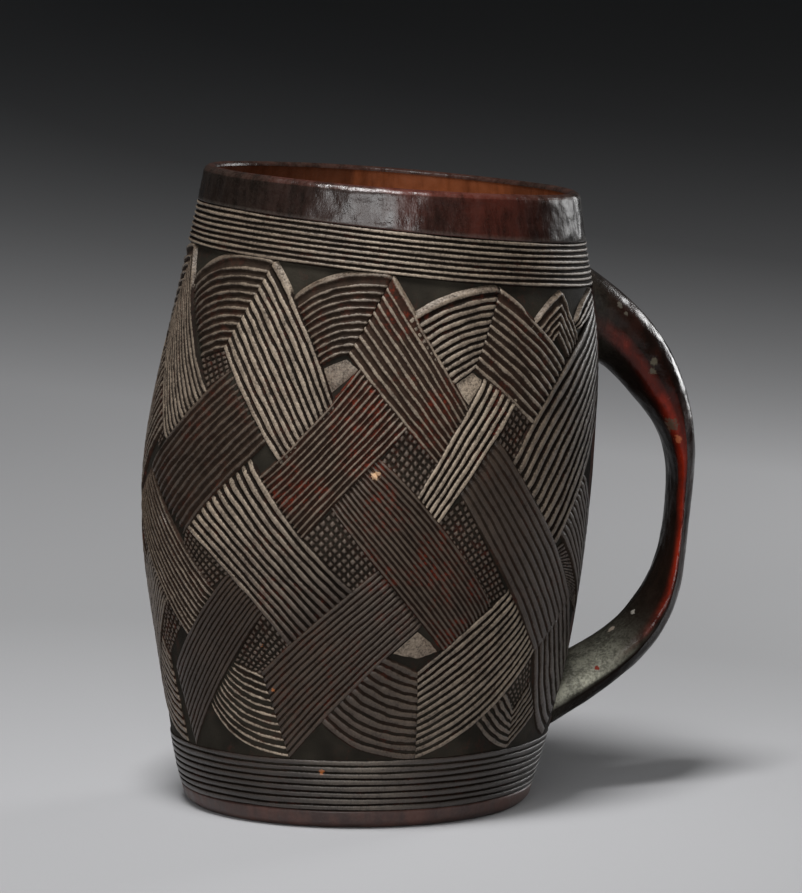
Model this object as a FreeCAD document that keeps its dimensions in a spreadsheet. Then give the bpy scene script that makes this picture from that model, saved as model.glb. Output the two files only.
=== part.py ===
import FreeCAD, Part

import math
import os

# A wooden cup carved from one block: leaning barrel, lined bands, interlaced straps, loop handle.
# The origin is the centre of the foot on the table. +Z is up and +X points to the handle. Angles
# round the body are counted from the front, which is -Y, and grow towards the handle.
# The cup is round. Each turn round it is a polygon of side_count sides with its corners on the
# real circle, so that the model keeps few faces: a larger side_count makes it rounder.

# Driving sizes: name, value, meaning. Lengths in millimetres, angles in degrees.
SIZES = [
    ("body_height", 171.4, "height of the lip above the middle of the foot"),
    ("foot_radius", 47.4, "radius of the foot"),
    ("belly_radius", 62.0, "largest radius of the body"),
    ("lip_radius", 51.4, "radius of the body at the lip"),
    ("mouth_lean", 9.35, "shift of the mouth towards the handle"),
    ("side_count", 52, "sides of the polygon that stands for each turn, a multiple of 4"),
    ("foot_chamfer", 1.4, "bevel under the foot"),
    ("foot_margin", 5.0, "height of the plain margin round the foot"),
    ("floor_thickness", 12.0, "wood under the middle of the cavity"),
    ("floor_dish", 6.0, "rise of the floor towards the wall"),
    ("wall_thickness", 6.2, "wall of the body, measured through a strap"),
    ("lip_wall", 3.6, "wall at the lip"),
    ("lip_round", 1.5, "rounding of the lip edges"),
    ("relief_depth", 1.25, "depth of the ground below the straps"),
    ("knot_depth", 0.6, "depth of the hatched pads below the straps"),
    ("cut_width", 0.7, "width of the cut between two straps"),
    ("line_depth", 0.75, "depth of a carved line in the bands"),
    ("line_count", 8, "ridges in each lined band"),
    ("lower_band_height", 14.5, "height of the lines above the foot margin"),
    ("upper_band_height", 11.9, "height of the upper lines"),
    ("rim_height", 11.35, "height of the plain lip above the upper lines"),
    ("band_tilt", 6.3, "fall of the upper lines towards the handle"),
    ("lip_tilt", 4.3, "fall of the lip towards the handle"),
    ("panel_angle", 15.0, "half of the angle that the plain panel takes up"),
    ("handle_low", 24.5, "height of the lower end of the handle"),
    ("handle_drop", 25.65, "depth of the upper end of the handle below the lip"),
    ("handle_standoff", 29.7, "distance from the belly to the middle of the handle"),
    ("handle_width", 28.0, "width of the handle at its lower root"),
    ("handle_thickness", 14.7, "thickness of the handle at its upper root"),
    ("handle_crown", 2.6, "height of the crown across the handle's outer face"),
]

# Sections of the body below and above the belly: share of body_height, share of the way from
# foot_radius (or lip_radius) to belly_radius, share of mouth_lean. The section where the carved
# field begins stands between the two lower tables.
FOOT_FORM_SHARES = [(0.0, 0.0, 0.0), (0.05, 0.17, 0.01)]
LOWER_FORM_SHARES = [(0.25, 0.665, 0.19), (0.40, 0.915, 0.215), (0.525, 1.0, 0.32)]
UPPER_FORM_SHARES = [
    (0.64, 0.925, 0.535), (0.76, 0.703, 0.79), (0.88, 0.344, 0.90),
    (1.0, 0.0, 1.0), (1.05, -0.14, 1.03),
]

# Where the lines meet the sections: share of the radius as above, share of mouth_lean.
FOOT_EDGE_SHARES = (0.025, 0.0)
MARGIN_TOP_SHARES = (0.10, 0.0)
LOWER_LINES_TOP_SHARES = (0.353, 0.08)
UPPER_LINES_BOTTOM_SHARES = (0.429, 1.016)
UPPER_LINES_TOP_SHARES = (0.214, 1.059)
RIM_MIDDLE_SHARES = (0.095, 1.064)
RIM_TOP_SHARES = (0.02, 1.07)

# The rounding of the lip: shares of lip_round inwards and down, from the side to the flat top.
LIP_ROUND_SHARES = [(0.0, 1.0), (0.29, 0.29), (1.0, 0.0)]

# The flat middle of the floor as a share of foot_radius.
FLOOR_FLAT_SHARE = 0.35

# How much of the difference between wall_thickness and lip_wall is left at each section of the
# wall, from its foot upwards, and at the bottom of the upper lines.
WALL_SHARES = [1.0, 1.0, 1.0, 1.0, 1.0, 0.88, 0.40, 0.0, 0.0]
UPPER_LINES_WALL_SHARE = 0.48

# Stations of the handle. Share of the way out from the body, share of the height between its
# ends, angle of its outer face in degrees, shares of width and thickness, and the shares of the
# crown by which its outer face and its inner face are rounded.
UPPER_STATION_SHARES = [
    (0.0, 0.995, 86.0, 0.90, 1.12, 0.7, 4.6),
    (0.262, 0.94, 73.0, 0.89, 0.90, 0.75, 3.9),
    (0.562, 0.861, 58.0, 0.80, 0.78, 0.85, 2.2),
    (0.782, 0.767, 46.8, 0.77, 0.72, 0.87, 1.4),
    (0.928, 0.67, 34.0, 0.70, 0.53, 0.8, 0.8),
    (1.0, 0.564, 12.5, 0.61, 0.34, 0.7, 0.35),
    (0.993, 0.461, -1.0, 0.57, 0.27, 0.6, 0.3),
]
LOWER_STATION_SHARES = [
    (0.953, 0.329, -19.0, 0.66, 0.27, 0.6, 0.6),
    (0.863, 0.221, -38.7, 0.81, 0.35, 0.65, 1.3),
    (0.655, 0.126, -53.5, 0.91, 0.43, 0.7, 1.5),
    (0.379, 0.060, -62.0, 0.99, 0.54, 0.77, 1.4),
    (0.07, 0.0, -68.0, 1.0, 0.65, 0.77, 1.2),
]

# The straps as they were carved on the front. Each has two sides from its start on the left to
# its end on the right, and a side may have a point between. A point is the angle round the body
# in degrees and the share of the height between the two lined bands.
FALLING_FRONT_SHARES = [
    (((-87.0, 0.995), (-77.5, 0.866), (-63.0, 0.733)), ((-97.0, 0.835), (-78.5, 0.62))),
    (((-46.5, 0.995), (-35.5, 0.894), (-24.5, 0.743)), ((-59.0, 0.815), (-36.5, 0.612))),
    (((-11.5, 0.996), (10.5, 0.746)), ((-22.0, 0.835), (3.5, 0.627))),
    (((19.5, 0.99), (32.0, 0.925), (43.0, 0.848)), ((11.5, 0.825), (31.0, 0.708))),
    (((44.0, 0.986), (50.5, 0.90)), ((40.0, 0.90), (44.5, 0.853))),
    (((-84.0, 0.55), (-56.0, 0.343)), ((-100.0, 0.475), (-67.5, 0.228))),
    (((-43.0, 0.599), (-29.0, 0.463), (-15.5, 0.359)), ((-64.0, 0.451), (-48.5, 0.365), (-33.0, 0.237))),
    (((-10.0, 0.627), (5.7, 0.50), (21.5, 0.333)), ((-21.0, 0.518), (9.0, 0.231))),
    (((21.0, 0.668), (58.0, 0.314)), ((11.5, 0.554), (40.5, 0.212))),
    (((60.0, 0.585), (80.0, 0.42)), ((48.0, 0.46), (80.0, 0.22))),
    (((-49.5, 0.19), (-42.0, 0.163)), ((-60.5, 0.087), (-50.0, 0.024), (-36.0, 0.0))),
    (((-7.0, 0.22), (1.7, 0.184)), ((-24.0, 0.077), (-12.0, 0.02), (3.0, 0.0))),
    (((31.0, 0.13), (35.5, 0.085)), ((22.5, 0.06), (29.0, 0.02), (35.5, 0.0))),
    (((58.0, 0.314), (67.0, 0.215), (80.0, 0.14)), ((40.5, 0.212), (50.0, 0.045), (66.0, 0.0))),
]
RISING_FRONT_SHARES = [
    (((-116.5, 0.95), (-102.0, 0.985), (-87.0, 0.998)), ((-103.5, 0.80), (-97.0, 0.825))),
    (((-80.0, 0.94), (-66.0, 0.988), (-46.5, 0.998)), ((-67.5, 0.79), (-63.0, 0.806), (-59.0, 0.815))),
    (((-37.5, 0.937), (-26.0, 0.984), (-11.5, 0.998)), ((-28.5, 0.811), (-25.0, 0.829), (-22.0, 0.835))),
    (((-5.0, 0.921), (6.0, 0.968), (19.5, 0.992)), ((6.5, 0.793), (11.5, 0.825))),
    (((32.0, 0.928), (38.0, 0.965), (44.0, 0.988)), ((38.0, 0.885), (40.0, 0.90))),
    (((50.5, 0.93), (58.0, 0.97), (68.0, 0.995)), ((52.0, 0.912), (69.0, 0.965))),
    (((-86.0, 0.56), (-57.0, 0.769)), ((-64.5, 0.447), (-40.5, 0.645))),
    (((-41.5, 0.575), (-30.5, 0.672), (-19.0, 0.804)), ((-28.5, 0.463), (-5.0, 0.694))),
    (((-0.5, 0.562), (14.0, 0.798)), ((5.5, 0.505), (25.0, 0.754))),
    (((25.5, 0.642), (46.5, 0.858), (80.0, 0.995)), ((45.0, 0.445), (80.0, 0.81))),
    (((-77.0, 0.153), (-50.0, 0.371)), ((-71.0, 0.0), (-40.5, 0.295))),
    (((-41.0, 0.182), (-10.0, 0.399)), ((-31.0, 0.0), (-14.7, 0.157), (1.5, 0.283))),
    (((1.8, 0.192), (26.5, 0.352)), ((6.0, 0.0), (23.2, 0.07), (40.5, 0.212))),
    (((35.5, 0.085), (41.0, 0.14)), ((37.0, 0.0), (47.0, 0.065))),
]
KNOT_FRONT_SHARES = [
    (((-67.5, 0.786), (-59.0, 0.809)), ((-63.0, 0.738), (-56.0, 0.773))),
    (((-5.0, 0.693), (4.0, 0.625)), ((-10.0, 0.627), (-0.5, 0.562))),
    (((25.0, 0.752), (31.0, 0.709)), ((20.5, 0.676), (25.5, 0.642))),
    (((-21.0, 0.521), (-10.0, 0.405)), ((-28.0, 0.462), (-15.5, 0.359))),
    (((11.5, 0.552), (26.5, 0.354)), ((5.5, 0.506), (21.5, 0.334))),
    (((-64.5, 0.449), (-50.0, 0.375)), ((-66.0, 0.42), (-56.0, 0.343))),
    (((-40.0, 0.294), (-33.0, 0.238)), ((-49.5, 0.196), (-42.0, 0.175))),
    (((31.5, 0.118), (40.0, 0.195)), ((35.5, 0.09), (40.8, 0.145))),
    (((49.0, 0.445), (72.0, 0.27)), ((46.0, 0.435), (60.0, 0.31))),
]

# One column of the weave on the back, for a peak at the angle 0: angles as shares of the pitch.
FALLING_COLUMN_SHARES = [
    (((0.0, 0.995), (0.31, 0.885), (0.61, 0.75)), ((-0.32, 0.825), (0.27, 0.645))),
    (((0.09, 0.605), (0.47, 0.455), (0.87, 0.365)), ((-0.39, 0.48), (0.44, 0.25))),
    (((0.06, 0.21), (0.16, 0.175)), ((-0.36, 0.082), (0.0, 0.022), (0.31, 0.0))),
]
RISING_COLUMN_SHARES = [
    (((-0.83, 0.95), (-0.42, 0.985), (0.0, 0.998)), ((-0.48, 0.80), (-0.32, 0.825))),
    (((-0.89, 0.59), (-0.25, 0.787)), ((-0.50, 0.46), (0.18, 0.645))),
    (((-0.83, 0.17), (-0.03, 0.385)), ((-0.61, 0.0), (0.26, 0.29))),
]
KNOT_COLUMN_SHARES = [
    (((-0.48, 0.80), (-0.32, 0.825)), ((-0.38, 0.75), (-0.25, 0.79))),
    (((0.18, 0.64), (0.26, 0.638)), ((0.10, 0.61), (0.13, 0.60))),
    (((-0.41, 0.475), (-0.05, 0.39)), ((-0.48, 0.46), (-0.12, 0.372))),
    (((0.26, 0.29), (0.44, 0.25)), ((0.06, 0.215), (0.17, 0.18))),
]

# Peaks of the columns on the back and their pitch, in degrees. The last is half shown in front.
BACK_COLUMNS = [(120.5, 38.5), (159.0, 38.7), (198.0, 39.0), (237.0, 37.0)]
LAST_COLUMN = (273.0, 36.5)

FRAME_TURN = 90.0

# A cutter for a patch reaches from inside the wall to outside the straps: shares of the radius.
CUTTER_REACH_SHARES = (0.95, 1.12)
PANEL_RISE_SHARES = (1.05, -0.05)
STRAP_STEP_COUNT = 3
KNOT_STEP_COUNT = 1
PLANE_STEP_COUNT = 4
HANDLE_STEP_COUNT = 3
CROWN_SHARES = (-1.0, -0.6, 0.0, 0.6, 1.0)
FLAT_SHARE = 1e-6
SLIVER_SHARE = 0.01
PARTS_FOLDER = "parts"


def make_sheet(document):
    """Writes the driving sizes and what follows from them into the spreadsheet."""
    sheet = document.addObject("Spreadsheet::Sheet", "Sizes")
    derived = [
        ("field_bottom", "=foot_margin + lower_band_height", "height where the straps begin"),
        ("lip_height", f"=body_height - mouth_lean * {RIM_TOP_SHARES[1]} * tan(lip_tilt)",
         "height of the lip on the middle of the mouth"),
        ("upper_band_top", "=lip_height - rim_height", "top of the upper lines"),
        ("upper_band_bottom", "=upper_band_top - upper_band_height", "bottom of the upper lines"),
        ("handle_high", "=lip_height - handle_drop", "height of the upper end of the handle"),
    ]
    for row, (name, value, meaning) in enumerate(SIZES + derived, start=1):
        sheet.set(f"A{row}", name)
        sheet.set(f"B{row}", str(value))
        sheet.set(f"C{row}", meaning)
        sheet.setAlias(f"B{row}", name)
    document.recompute()
    return sheet


def size(name):
    """The value of a size, read from the spreadsheet."""
    return float(FreeCAD.ActiveDocument.getObject("Sizes").get(name))


def lower_radius(share):
    """Expression for a radius between the foot and the belly."""
    return f"Sizes.foot_radius + (Sizes.belly_radius - Sizes.foot_radius) * {share}"


def upper_radius(share):
    """Expression for a radius between the lip and the belly."""
    return f"Sizes.lip_radius + (Sizes.belly_radius - Sizes.lip_radius) * {share}"


def ring(document, name, radius, height, lean_share=0.0, tilt="0"):
    """A polygon across the body at a height, shifted by the lean and tilted towards the handle."""
    polygon = document.addObject("Part::RegularPolygon", name)
    polygon.Placement = FreeCAD.Placement(FreeCAD.Vector(), FreeCAD.Rotation(FreeCAD.Vector(0, 1, 0), 1.0))
    polygon.setExpression("Polygon", "Sizes.side_count")
    polygon.setExpression("Circumradius", radius)
    polygon.setExpression("Placement.Base.x", f"Sizes.mouth_lean * {lean_share}")
    polygon.setExpression("Placement.Base.z", height)
    polygon.setExpression("Placement.Rotation.Angle", tilt)
    return polygon


def loft(document, name, rings):
    """A solid of flat facets from ring to ring."""
    feature = document.addObject("Part::Loft", name)
    feature.Sections = rings
    feature.Solid = True
    feature.Ruled = True
    return feature


def combine(document, kind, name, base, tool):
    """Cuts the tool from the base, or fuses them."""
    feature = document.addObject(f"Part::{kind}", name)
    feature.Base = base
    feature.Tool = tool
    return feature


def make_form(document):
    """The rings of the whole body at the level of the straps, upwards."""
    rings = []
    for height, radius, lean in FOOT_FORM_SHARES:
        rings.append((f"Sizes.body_height * {height}", lower_radius(radius), lean))
    share, lean = LOWER_LINES_TOP_SHARES
    rings.append(("Sizes.field_bottom", lower_radius(share), lean))
    for height, radius, lean in LOWER_FORM_SHARES:
        rings.append((f"Sizes.body_height * {height}", lower_radius(radius), lean))
    for height, radius, lean in UPPER_FORM_SHARES:
        rings.append((f"Sizes.body_height * {height}", upper_radius(radius), lean))
    return [ring(document, f"form_ring_{number}", radius, height, lean)
            for number, (height, radius, lean) in enumerate(rings)]


def make_base(document):
    """The floor: a bevelled margin round the foot and a plug with a dished top."""
    margin = [
        ring(document, "foot_face", "Sizes.foot_radius - Sizes.foot_chamfer", "0"),
        ring(document, "foot_edge", lower_radius(FOOT_EDGE_SHARES[0]), "Sizes.foot_chamfer"),
        ring(document, "margin_top", lower_radius(MARGIN_TOP_SHARES[0]), "Sizes.foot_margin"),
    ]
    plug = floor_rings(document, "plug")
    dish = [
        ring(document, "dish_floor", f"Sizes.foot_radius * {FLOOR_FLAT_SHARE}", "Sizes.floor_thickness"),
        ring(document, "dish_edge", "Sizes.belly_radius", "Sizes.floor_thickness + Sizes.floor_dish"),
        ring(document, "dish_roof", "Sizes.belly_radius", "Sizes.body_height"),
    ]
    document.recompute()
    block = ring_skin(margin).fuse(ring_skin(plug)).cut(ring_skin(dish))
    base = document.addObject("Part::Feature", "base")
    base.Shape = block
    return base


def floor_rings(document, name):
    """The two rings between which the floor meets the lower lines."""
    low_share, low_lean = MARGIN_TOP_SHARES
    high_share, high_lean = LOWER_LINES_TOP_SHARES
    return [
        ring(document, f"{name}_low", f"{lower_radius(low_share)} - Sizes.wall_thickness",
             "Sizes.foot_margin", low_lean),
        ring(document, f"{name}_high", f"{lower_radius(high_share)} - Sizes.wall_thickness",
             "Sizes.field_bottom", high_lean),
    ]


def lined_rings(document, name, radius, bottom, height, low, high, tilt="0"):
    """Rings through the crests and the bottoms of a band of carved lines, upwards."""
    rings = []
    steps = 2 * int(size("line_count"))
    for step in range(steps + 1):
        part = step / steps
        share = low[0] + (high[0] - low[0]) * part
        lean = low[1] + (high[1] - low[1]) * part
        depth = "" if step % 2 else " - Sizes.line_depth"
        rings.append(ring(document, f"{name}_line_{step}", f"{radius(share)}{depth}",
                          f"{bottom} + {height} * {part}", lean, tilt))
    return rings


def make_lower_lines(document):
    """The ring of carved lines above the foot."""
    rings = lined_rings(document, "lower", lower_radius, "Sizes.foot_margin", "Sizes.lower_band_height",
                        MARGIN_TOP_SHARES, LOWER_LINES_TOP_SHARES)
    lines = loft(document, "lower_lines", rings)
    cavity = loft(document, "lower_cavity", floor_rings(document, "cavity"))
    return combine(document, "Cut", "lower_line_band", lines, cavity)


def wall_inset(share):
    """Expression for the thickness of the wall, from the lip's at 0 to the body's at 1."""
    return f"(Sizes.lip_wall + (Sizes.wall_thickness - Sizes.lip_wall) * {share})"


def mouth_ring(document, name, shares, height, inset, tilt="Sizes.band_tilt"):
    """A ring round the mouth on a tilted plane, moved inwards by the inset."""
    share, lean = shares
    return ring(document, name, f"{upper_radius(share)} - {inset}", height, lean, tilt)


def make_upper_lines(document):
    """The tilted ring of carved lines under the lip."""
    rings = lined_rings(document, "upper", upper_radius, "Sizes.upper_band_bottom", "Sizes.upper_band_height",
                        UPPER_LINES_BOTTOM_SHARES, UPPER_LINES_TOP_SHARES, "Sizes.band_tilt")
    lines = loft(document, "upper_lines", rings)
    cavity = loft(document, "band_cavity", [
        mouth_ring(document, "band_cavity_low", UPPER_LINES_BOTTOM_SHARES, "Sizes.upper_band_bottom",
                   wall_inset(UPPER_LINES_WALL_SHARE)),
        mouth_ring(document, "band_cavity_high", UPPER_LINES_TOP_SHARES, "Sizes.upper_band_top",
                   "Sizes.lip_wall"),
    ])
    return combine(document, "Cut", "upper_line_band", lines, cavity)


def rim_rings(document, name, inset, sign):
    """Rings up one face of the rim and over its rounded edge, towards the middle of the lip."""
    middle = "(Sizes.upper_band_top + Sizes.lip_height) / 2"
    half_tilt = "(Sizes.band_tilt + Sizes.lip_tilt) / 2"
    rings = [
        mouth_ring(document, f"{name}_low", UPPER_LINES_TOP_SHARES, "Sizes.upper_band_top", inset),
        mouth_ring(document, f"{name}_middle", RIM_MIDDLE_SHARES, middle, inset, half_tilt),
    ]
    for number, (inwards, down) in enumerate(LIP_ROUND_SHARES):
        rings.append(mouth_ring(document, f"{name}_edge_{number}", RIM_TOP_SHARES,
                                f"Sizes.lip_height - Sizes.lip_round * {down}",
                                f"({inset} {sign} Sizes.lip_round * {inwards})", "Sizes.lip_tilt"))
    return rings


def make_rim(document):
    """The plain lip with its two edges rounded."""
    outside = loft(document, "rim_outside", rim_rings(document, "rim", "0", "+"))
    inside = loft(document, "rim_inside", rim_rings(document, "mouth", "Sizes.lip_wall", "-"))
    return combine(document, "Cut", "rim", outside, inside)


def ring_corners(item, inset=0.0):
    """Corners of a ring of the document, moved inwards by the inset."""
    count = round(size("side_count"))
    angles = [2 * math.pi * number / count for number in range(count)]
    radius = item.Circumradius.Value - inset
    return [item.Placement.multVec(FreeCAD.Vector(math.cos(angle), math.sin(angle), 0) * radius)
            for angle in angles]


def flat_face(*corners):
    """A flat face through its corners."""
    return Part.Face(Part.makePolygon([*corners, corners[0]]))


def facets(first, second, third, fourth):
    """One flat face through four corners, or two where they don't lie in a plane."""
    diagonal = third - first
    normal = (second - first).cross(diagonal).normalize()
    if abs(normal.dot(fourth - first)) < FLAT_SHARE * diagonal.Length:
        return [flat_face(first, second, third, fourth)]
    return [flat_face(first, second, third), flat_face(first, third, fourth)]


def closed_solid(faces):
    """The solid that closed faces bound."""
    shell = Part.makeShell(faces)
    shell.sewShape()
    solid = Part.makeSolid(shell)
    if solid.Volume < 0:
        solid.reverse()
    return solid


def skin(rings):
    """A solid of flat facets through closed rings of equally many corners."""
    faces = [flat_face(*rings[0]), flat_face(*rings[-1])]
    for low, high in zip(rings, rings[1:]):
        for number in range(len(low)):
            faces += facets(low[number - 1], low[number], high[number], high[number - 1])
    return closed_solid(faces)


def ring_skin(rings, inset=0.0):
    """A solid of flat facets through rings of the document, moved inwards by the inset."""
    return skin([ring_corners(item, inset) for item in rings])


def make_above(document):
    """Everything above the bottom of the upper lines, which trims what ends there."""
    radius = "Sizes.belly_radius + Sizes.belly_radius"
    lean = UPPER_LINES_BOTTOM_SHARES[1]
    low = "Sizes.upper_band_bottom"
    rings = [ring(document, f"above_{number}", radius, height, lean, "Sizes.band_tilt")
             for number, height in enumerate((low, f"{low} + Sizes.body_height"))]
    document.recompute()
    return ring_skin(rings)


def make_wall(document, form, above):
    """The hollow wall between the two lined bands, at the level of the ground."""
    cavity = []
    for item, share in zip(form, WALL_SHARES):
        inset = size("lip_wall") + (size("wall_thickness") - size("lip_wall")) * share
        cavity.append(ring_corners(item, inset))
    wall = document.addObject("Part::Feature", "barrel_wall")
    wall.Shape = ring_skin(form, size("relief_depth")).cut(skin(cavity)).cut(above)
    return wall


def handle_stations():
    """Distance out, height and shares of each station of the handle, from the top down."""
    span = size("belly_radius") + size("handle_standoff")
    tables = ((size("lip_radius"), UPPER_STATION_SHARES), (size("foot_radius"), LOWER_STATION_SHARES))
    stations = []
    for root, table in tables:
        for reach, rise, *rest in table:
            height = size("handle_low") + (size("handle_high") - size("handle_low")) * rise
            stations.append((root + (span - root) * reach, height, *rest))
    return stations


def smooth_stations():
    """The stations of the handle with further ones on smooth curves between them."""
    stations = handle_stations()
    ways = [0.0]
    for before, after in zip(stations, stations[1:]):
        ways.append(ways[-1] + math.dist(before[:2], after[:2]))
    steps = [start + (end - start) * number / HANDLE_STEP_COUNT
             for start, end in zip(ways, ways[1:]) for number in range(HANDLE_STEP_COUNT)]
    steps.append(ways[-1])
    columns = []
    for values in zip(*stations):
        curve = Part.BSplineCurve()
        curve.interpolate(Points=[FreeCAD.Vector(value, way, 0) for value, way in zip(values, ways)],
                          Parameters=ways)
        columns.append([curve.value(step).x for step in steps])
    return list(zip(*columns))


def handle_corners(station):
    """Corners of one cross-section: two flat sides, a crowned outer face and a rounded inner one."""
    out, height, angle, width_share, thickness_share, outer_share, inner_share = station
    half_width = size("handle_width") * width_share / 2
    half_thick = size("handle_thickness") * thickness_share / 2
    turn = FreeCAD.Rotation(FreeCAD.Vector(0, 1, 0), -angle)
    corners = []
    for side, crown_share, order in ((1, outer_share, 1), (-1, inner_share, -1)):
        for across in CROWN_SHARES[::order]:
            crown = size("handle_crown") * crown_share * (1 - across * across)
            corners.append(FreeCAD.Vector(side * (half_thick + crown), across * half_width, 0))
    return [turn.multVec(corner) + FreeCAD.Vector(out, 0, height) for corner in corners]


def make_handle(document, form):
    """The loop handle, from root to root, cut where it meets the body."""
    bar = skin([handle_corners(station) for station in smooth_stations()])
    handle = document.addObject("Part::Feature", "handle")
    handle.Shape = bar.cut(ring_skin(form))
    return handle


def form_places(form):
    """Height, radius and lean of each ring of the form, upwards."""
    return [(item.Placement.Base.z, item.Circumradius.Value, item.Placement.Base.x) for item in form]


def form_at(places, height):
    """Radius and lean of the body at a height, from the rings below and above it."""
    above = next((number for number, place in enumerate(places) if place[0] > height), len(places) - 1)
    above = max(above, 1)
    low, high = places[above - 1], places[above]
    part = (height - low[0]) / (high[0] - low[0])
    return tuple(low[axis] + (high[axis] - low[axis]) * part for axis in (1, 2))


def field_point(places, angle, share):
    """The axis of the body and a point of the carved field, at the same height."""
    turn = math.radians(angle)
    slope = math.tan(math.radians(size("band_tilt")))
    middle = size("mouth_lean") * UPPER_LINES_BOTTOM_SHARES[1]
    high = size("upper_band_bottom")
    for _ in range(PLANE_STEP_COUNT):
        radius, lean = form_at(places, high)
        high = size("upper_band_bottom") - slope * (lean + radius * math.sin(turn) - middle)
    height = size("field_bottom") + (high - size("field_bottom")) * share
    radius, lean = form_at(places, height)
    axis = FreeCAD.Vector(lean, 0, height)
    return axis, axis + FreeCAD.Vector(math.sin(turn), -math.cos(turn), 0) * radius


def along(side, part):
    """The angle and share at a part of the way along a side of two or three points."""
    if len(side) == 2:
        weights = (1 - part, part)
    else:
        weights = ((1 - part) * (1 - 2 * part), 4 * part * (1 - part), part * (2 * part - 1))
    return tuple(sum(weight * point[axis] for weight, point in zip(weights, side)) for axis in (0, 1))


def patch_rows(places, sides, steps, margin):
    """Points along the two sides of a patch, moved inwards by the margin, each with its axis."""
    corners = [[field_point(places, *along(side, part))[1] for part in (0.0, 1.0)] for side in sides]
    length = max(start.distanceToPoint(end) for start, end in corners)
    width = max(first.distanceToPoint(second) for first, second in zip(*corners))
    rows = []
    for blend in (margin / width, 1 - margin / width):
        row = []
        for number in range(steps + 1):
            part = margin / length + (1 - 2 * margin / length) * number / steps
            first, second = (along(side, part) for side in sides)
            angle, share = (start * (1 - blend) + end * blend for start, end in zip(first, second))
            row.append(field_point(places, angle, share))
        rows.append(row)
    return rows


def patch_cutter(places, sides, steps, margin):
    """A block that cuts a patch out of a layer of the wall, with sides that point to the axis."""
    rows = patch_rows(places, sides, steps, margin)
    loops = []
    faces = []
    for reach in CUTTER_REACH_SHARES:
        upper, lower = ([axis + (point - axis) * reach for axis, point in row] for row in rows)
        for number in range(steps):
            faces += facets(upper[number], upper[number + 1], lower[number + 1], lower[number])
        loops.append(upper + lower[::-1])
    inner, outer = loops
    for number in range(len(inner)):
        near = Part.makeLine(inner[number - 1], inner[number])
        far = Part.makeLine(outer[number - 1], outer[number])
        faces.append(Part.makeRuledSurface(near, far))
    return closed_solid(faces)


def relief_layer(form, above, inset):
    """The layer of the carved field between the ground and a level above it."""
    return ring_skin(form, inset).cut(ring_skin(form, size("relief_depth"))).cut(above)


def panel_cutter(places, margin):
    """A block that cuts the plain upright panel behind the handle out of a layer."""
    half_angle = size("panel_angle") + math.degrees(margin / size("belly_radius"))
    edges = [FRAME_TURN - half_angle, FRAME_TURN + half_angle]
    sides = tuple(tuple((angle, share) for angle in edges) for share in PANEL_RISE_SHARES)
    return patch_cutter(places, sides, STRAP_STEP_COUNT, 0.0)


def column_sides(table, peak, pitch, keep=None):
    """The sides of a column's patches, for a peak at an angle and a pitch in degrees."""
    chosen = table if keep is None else table[keep:]
    return [tuple(tuple((peak + angle * pitch, share) for angle, share in side) for side in sides)
            for sides in chosen]


def field_sides(front, column):
    """The sides of all patches of one kind: the front's own, then the columns of the back."""
    patches = list(front)
    for peak, pitch in BACK_COLUMNS:
        patches += column_sides(column, peak, pitch)
    return patches


def make_relief(document, name, layer, places, patches, steps):
    """A node of raised patches, each a solid of its own."""
    margin = size("cut_width") / 2
    cutters = [patch_cutter(places, sides, steps, margin) for sides in patches]
    solids = layer.common(Part.makeCompound(cutters)).Solids
    least = SLIVER_SHARE * max(solid.Volume for solid in solids)
    node = document.addObject("Part::Feature", name)
    node.Shape = Part.makeCompound([solid for solid in solids if solid.Volume > least])
    return node


def make_weave(document, form, above):
    """The falling and rising straps, the hatched pads between them and the plain panel."""
    places = form_places(form)
    falling = field_sides(FALLING_FRONT_SHARES, FALLING_COLUMN_SHARES)
    falling += column_sides(FALLING_COLUMN_SHARES, *LAST_COLUMN, keep=2)
    rising = field_sides(RISING_FRONT_SHARES, RISING_COLUMN_SHARES)
    rising += column_sides(RISING_COLUMN_SHARES, *LAST_COLUMN, keep=1)
    knots = field_sides(KNOT_FRONT_SHARES, KNOT_COLUMN_SHARES)
    knots += column_sides(KNOT_COLUMN_SHARES, *LAST_COLUMN)
    field = form[len(FOOT_FORM_SHARES):]
    straps_layer = relief_layer(field, above, 0.0)
    knots_layer = relief_layer(field, above, size("knot_depth"))
    panel = document.addObject("Part::Feature", "handle_panel")
    panel.Shape = straps_layer.common(panel_cutter(places, 0.0))
    beside = panel_cutter(places, size("cut_width"))
    straps_layer = straps_layer.cut(beside)
    knots_layer = knots_layer.cut(beside)
    return [
        make_relief(document, "falling_straps", straps_layer, places, falling, STRAP_STEP_COUNT),
        make_relief(document, "rising_straps", straps_layer, places, rising, STRAP_STEP_COUNT),
        make_relief(document, "knots", knots_layer, places, knots, KNOT_STEP_COUNT),
        panel,
    ]


def check(document, nodes):
    """Stops the build if an object has failed or a part's shape is empty or not valid."""
    for item in document.Objects:
        if "Invalid" in item.State or "Error" in item.State:
            raise RuntimeError(f"{item.Label} failed: {item.State}")
    for node in nodes:
        if node.Shape.isNull() or not node.Shape.isValid() or not node.Shape.Solids:
            raise RuntimeError(f"{node.Label} has no valid shape")


def main():
    """Builds the cup and writes one file for each of its parts."""
    document = FreeCAD.newDocument("cup")
    make_sheet(document)
    form = make_form(document)
    above = make_above(document)
    nodes = [
        make_base(document),
        make_lower_lines(document),
        make_wall(document, form[len(FOOT_FORM_SHARES):], above),
        make_upper_lines(document),
        make_rim(document),
        make_handle(document, form),
    ]
    nodes += make_weave(document, form, above)
    document.recompute()
    check(document, nodes)
    os.makedirs(PARTS_FOLDER, exist_ok=True)
    for node in nodes:
        node.Shape.exportStep(f"{PARTS_FOLDER}/{node.Label}.step")
        print(node.Label, len(node.Shape.Solids), round(node.Shape.Volume), node.Shape.BoundBox)


main()
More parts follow.
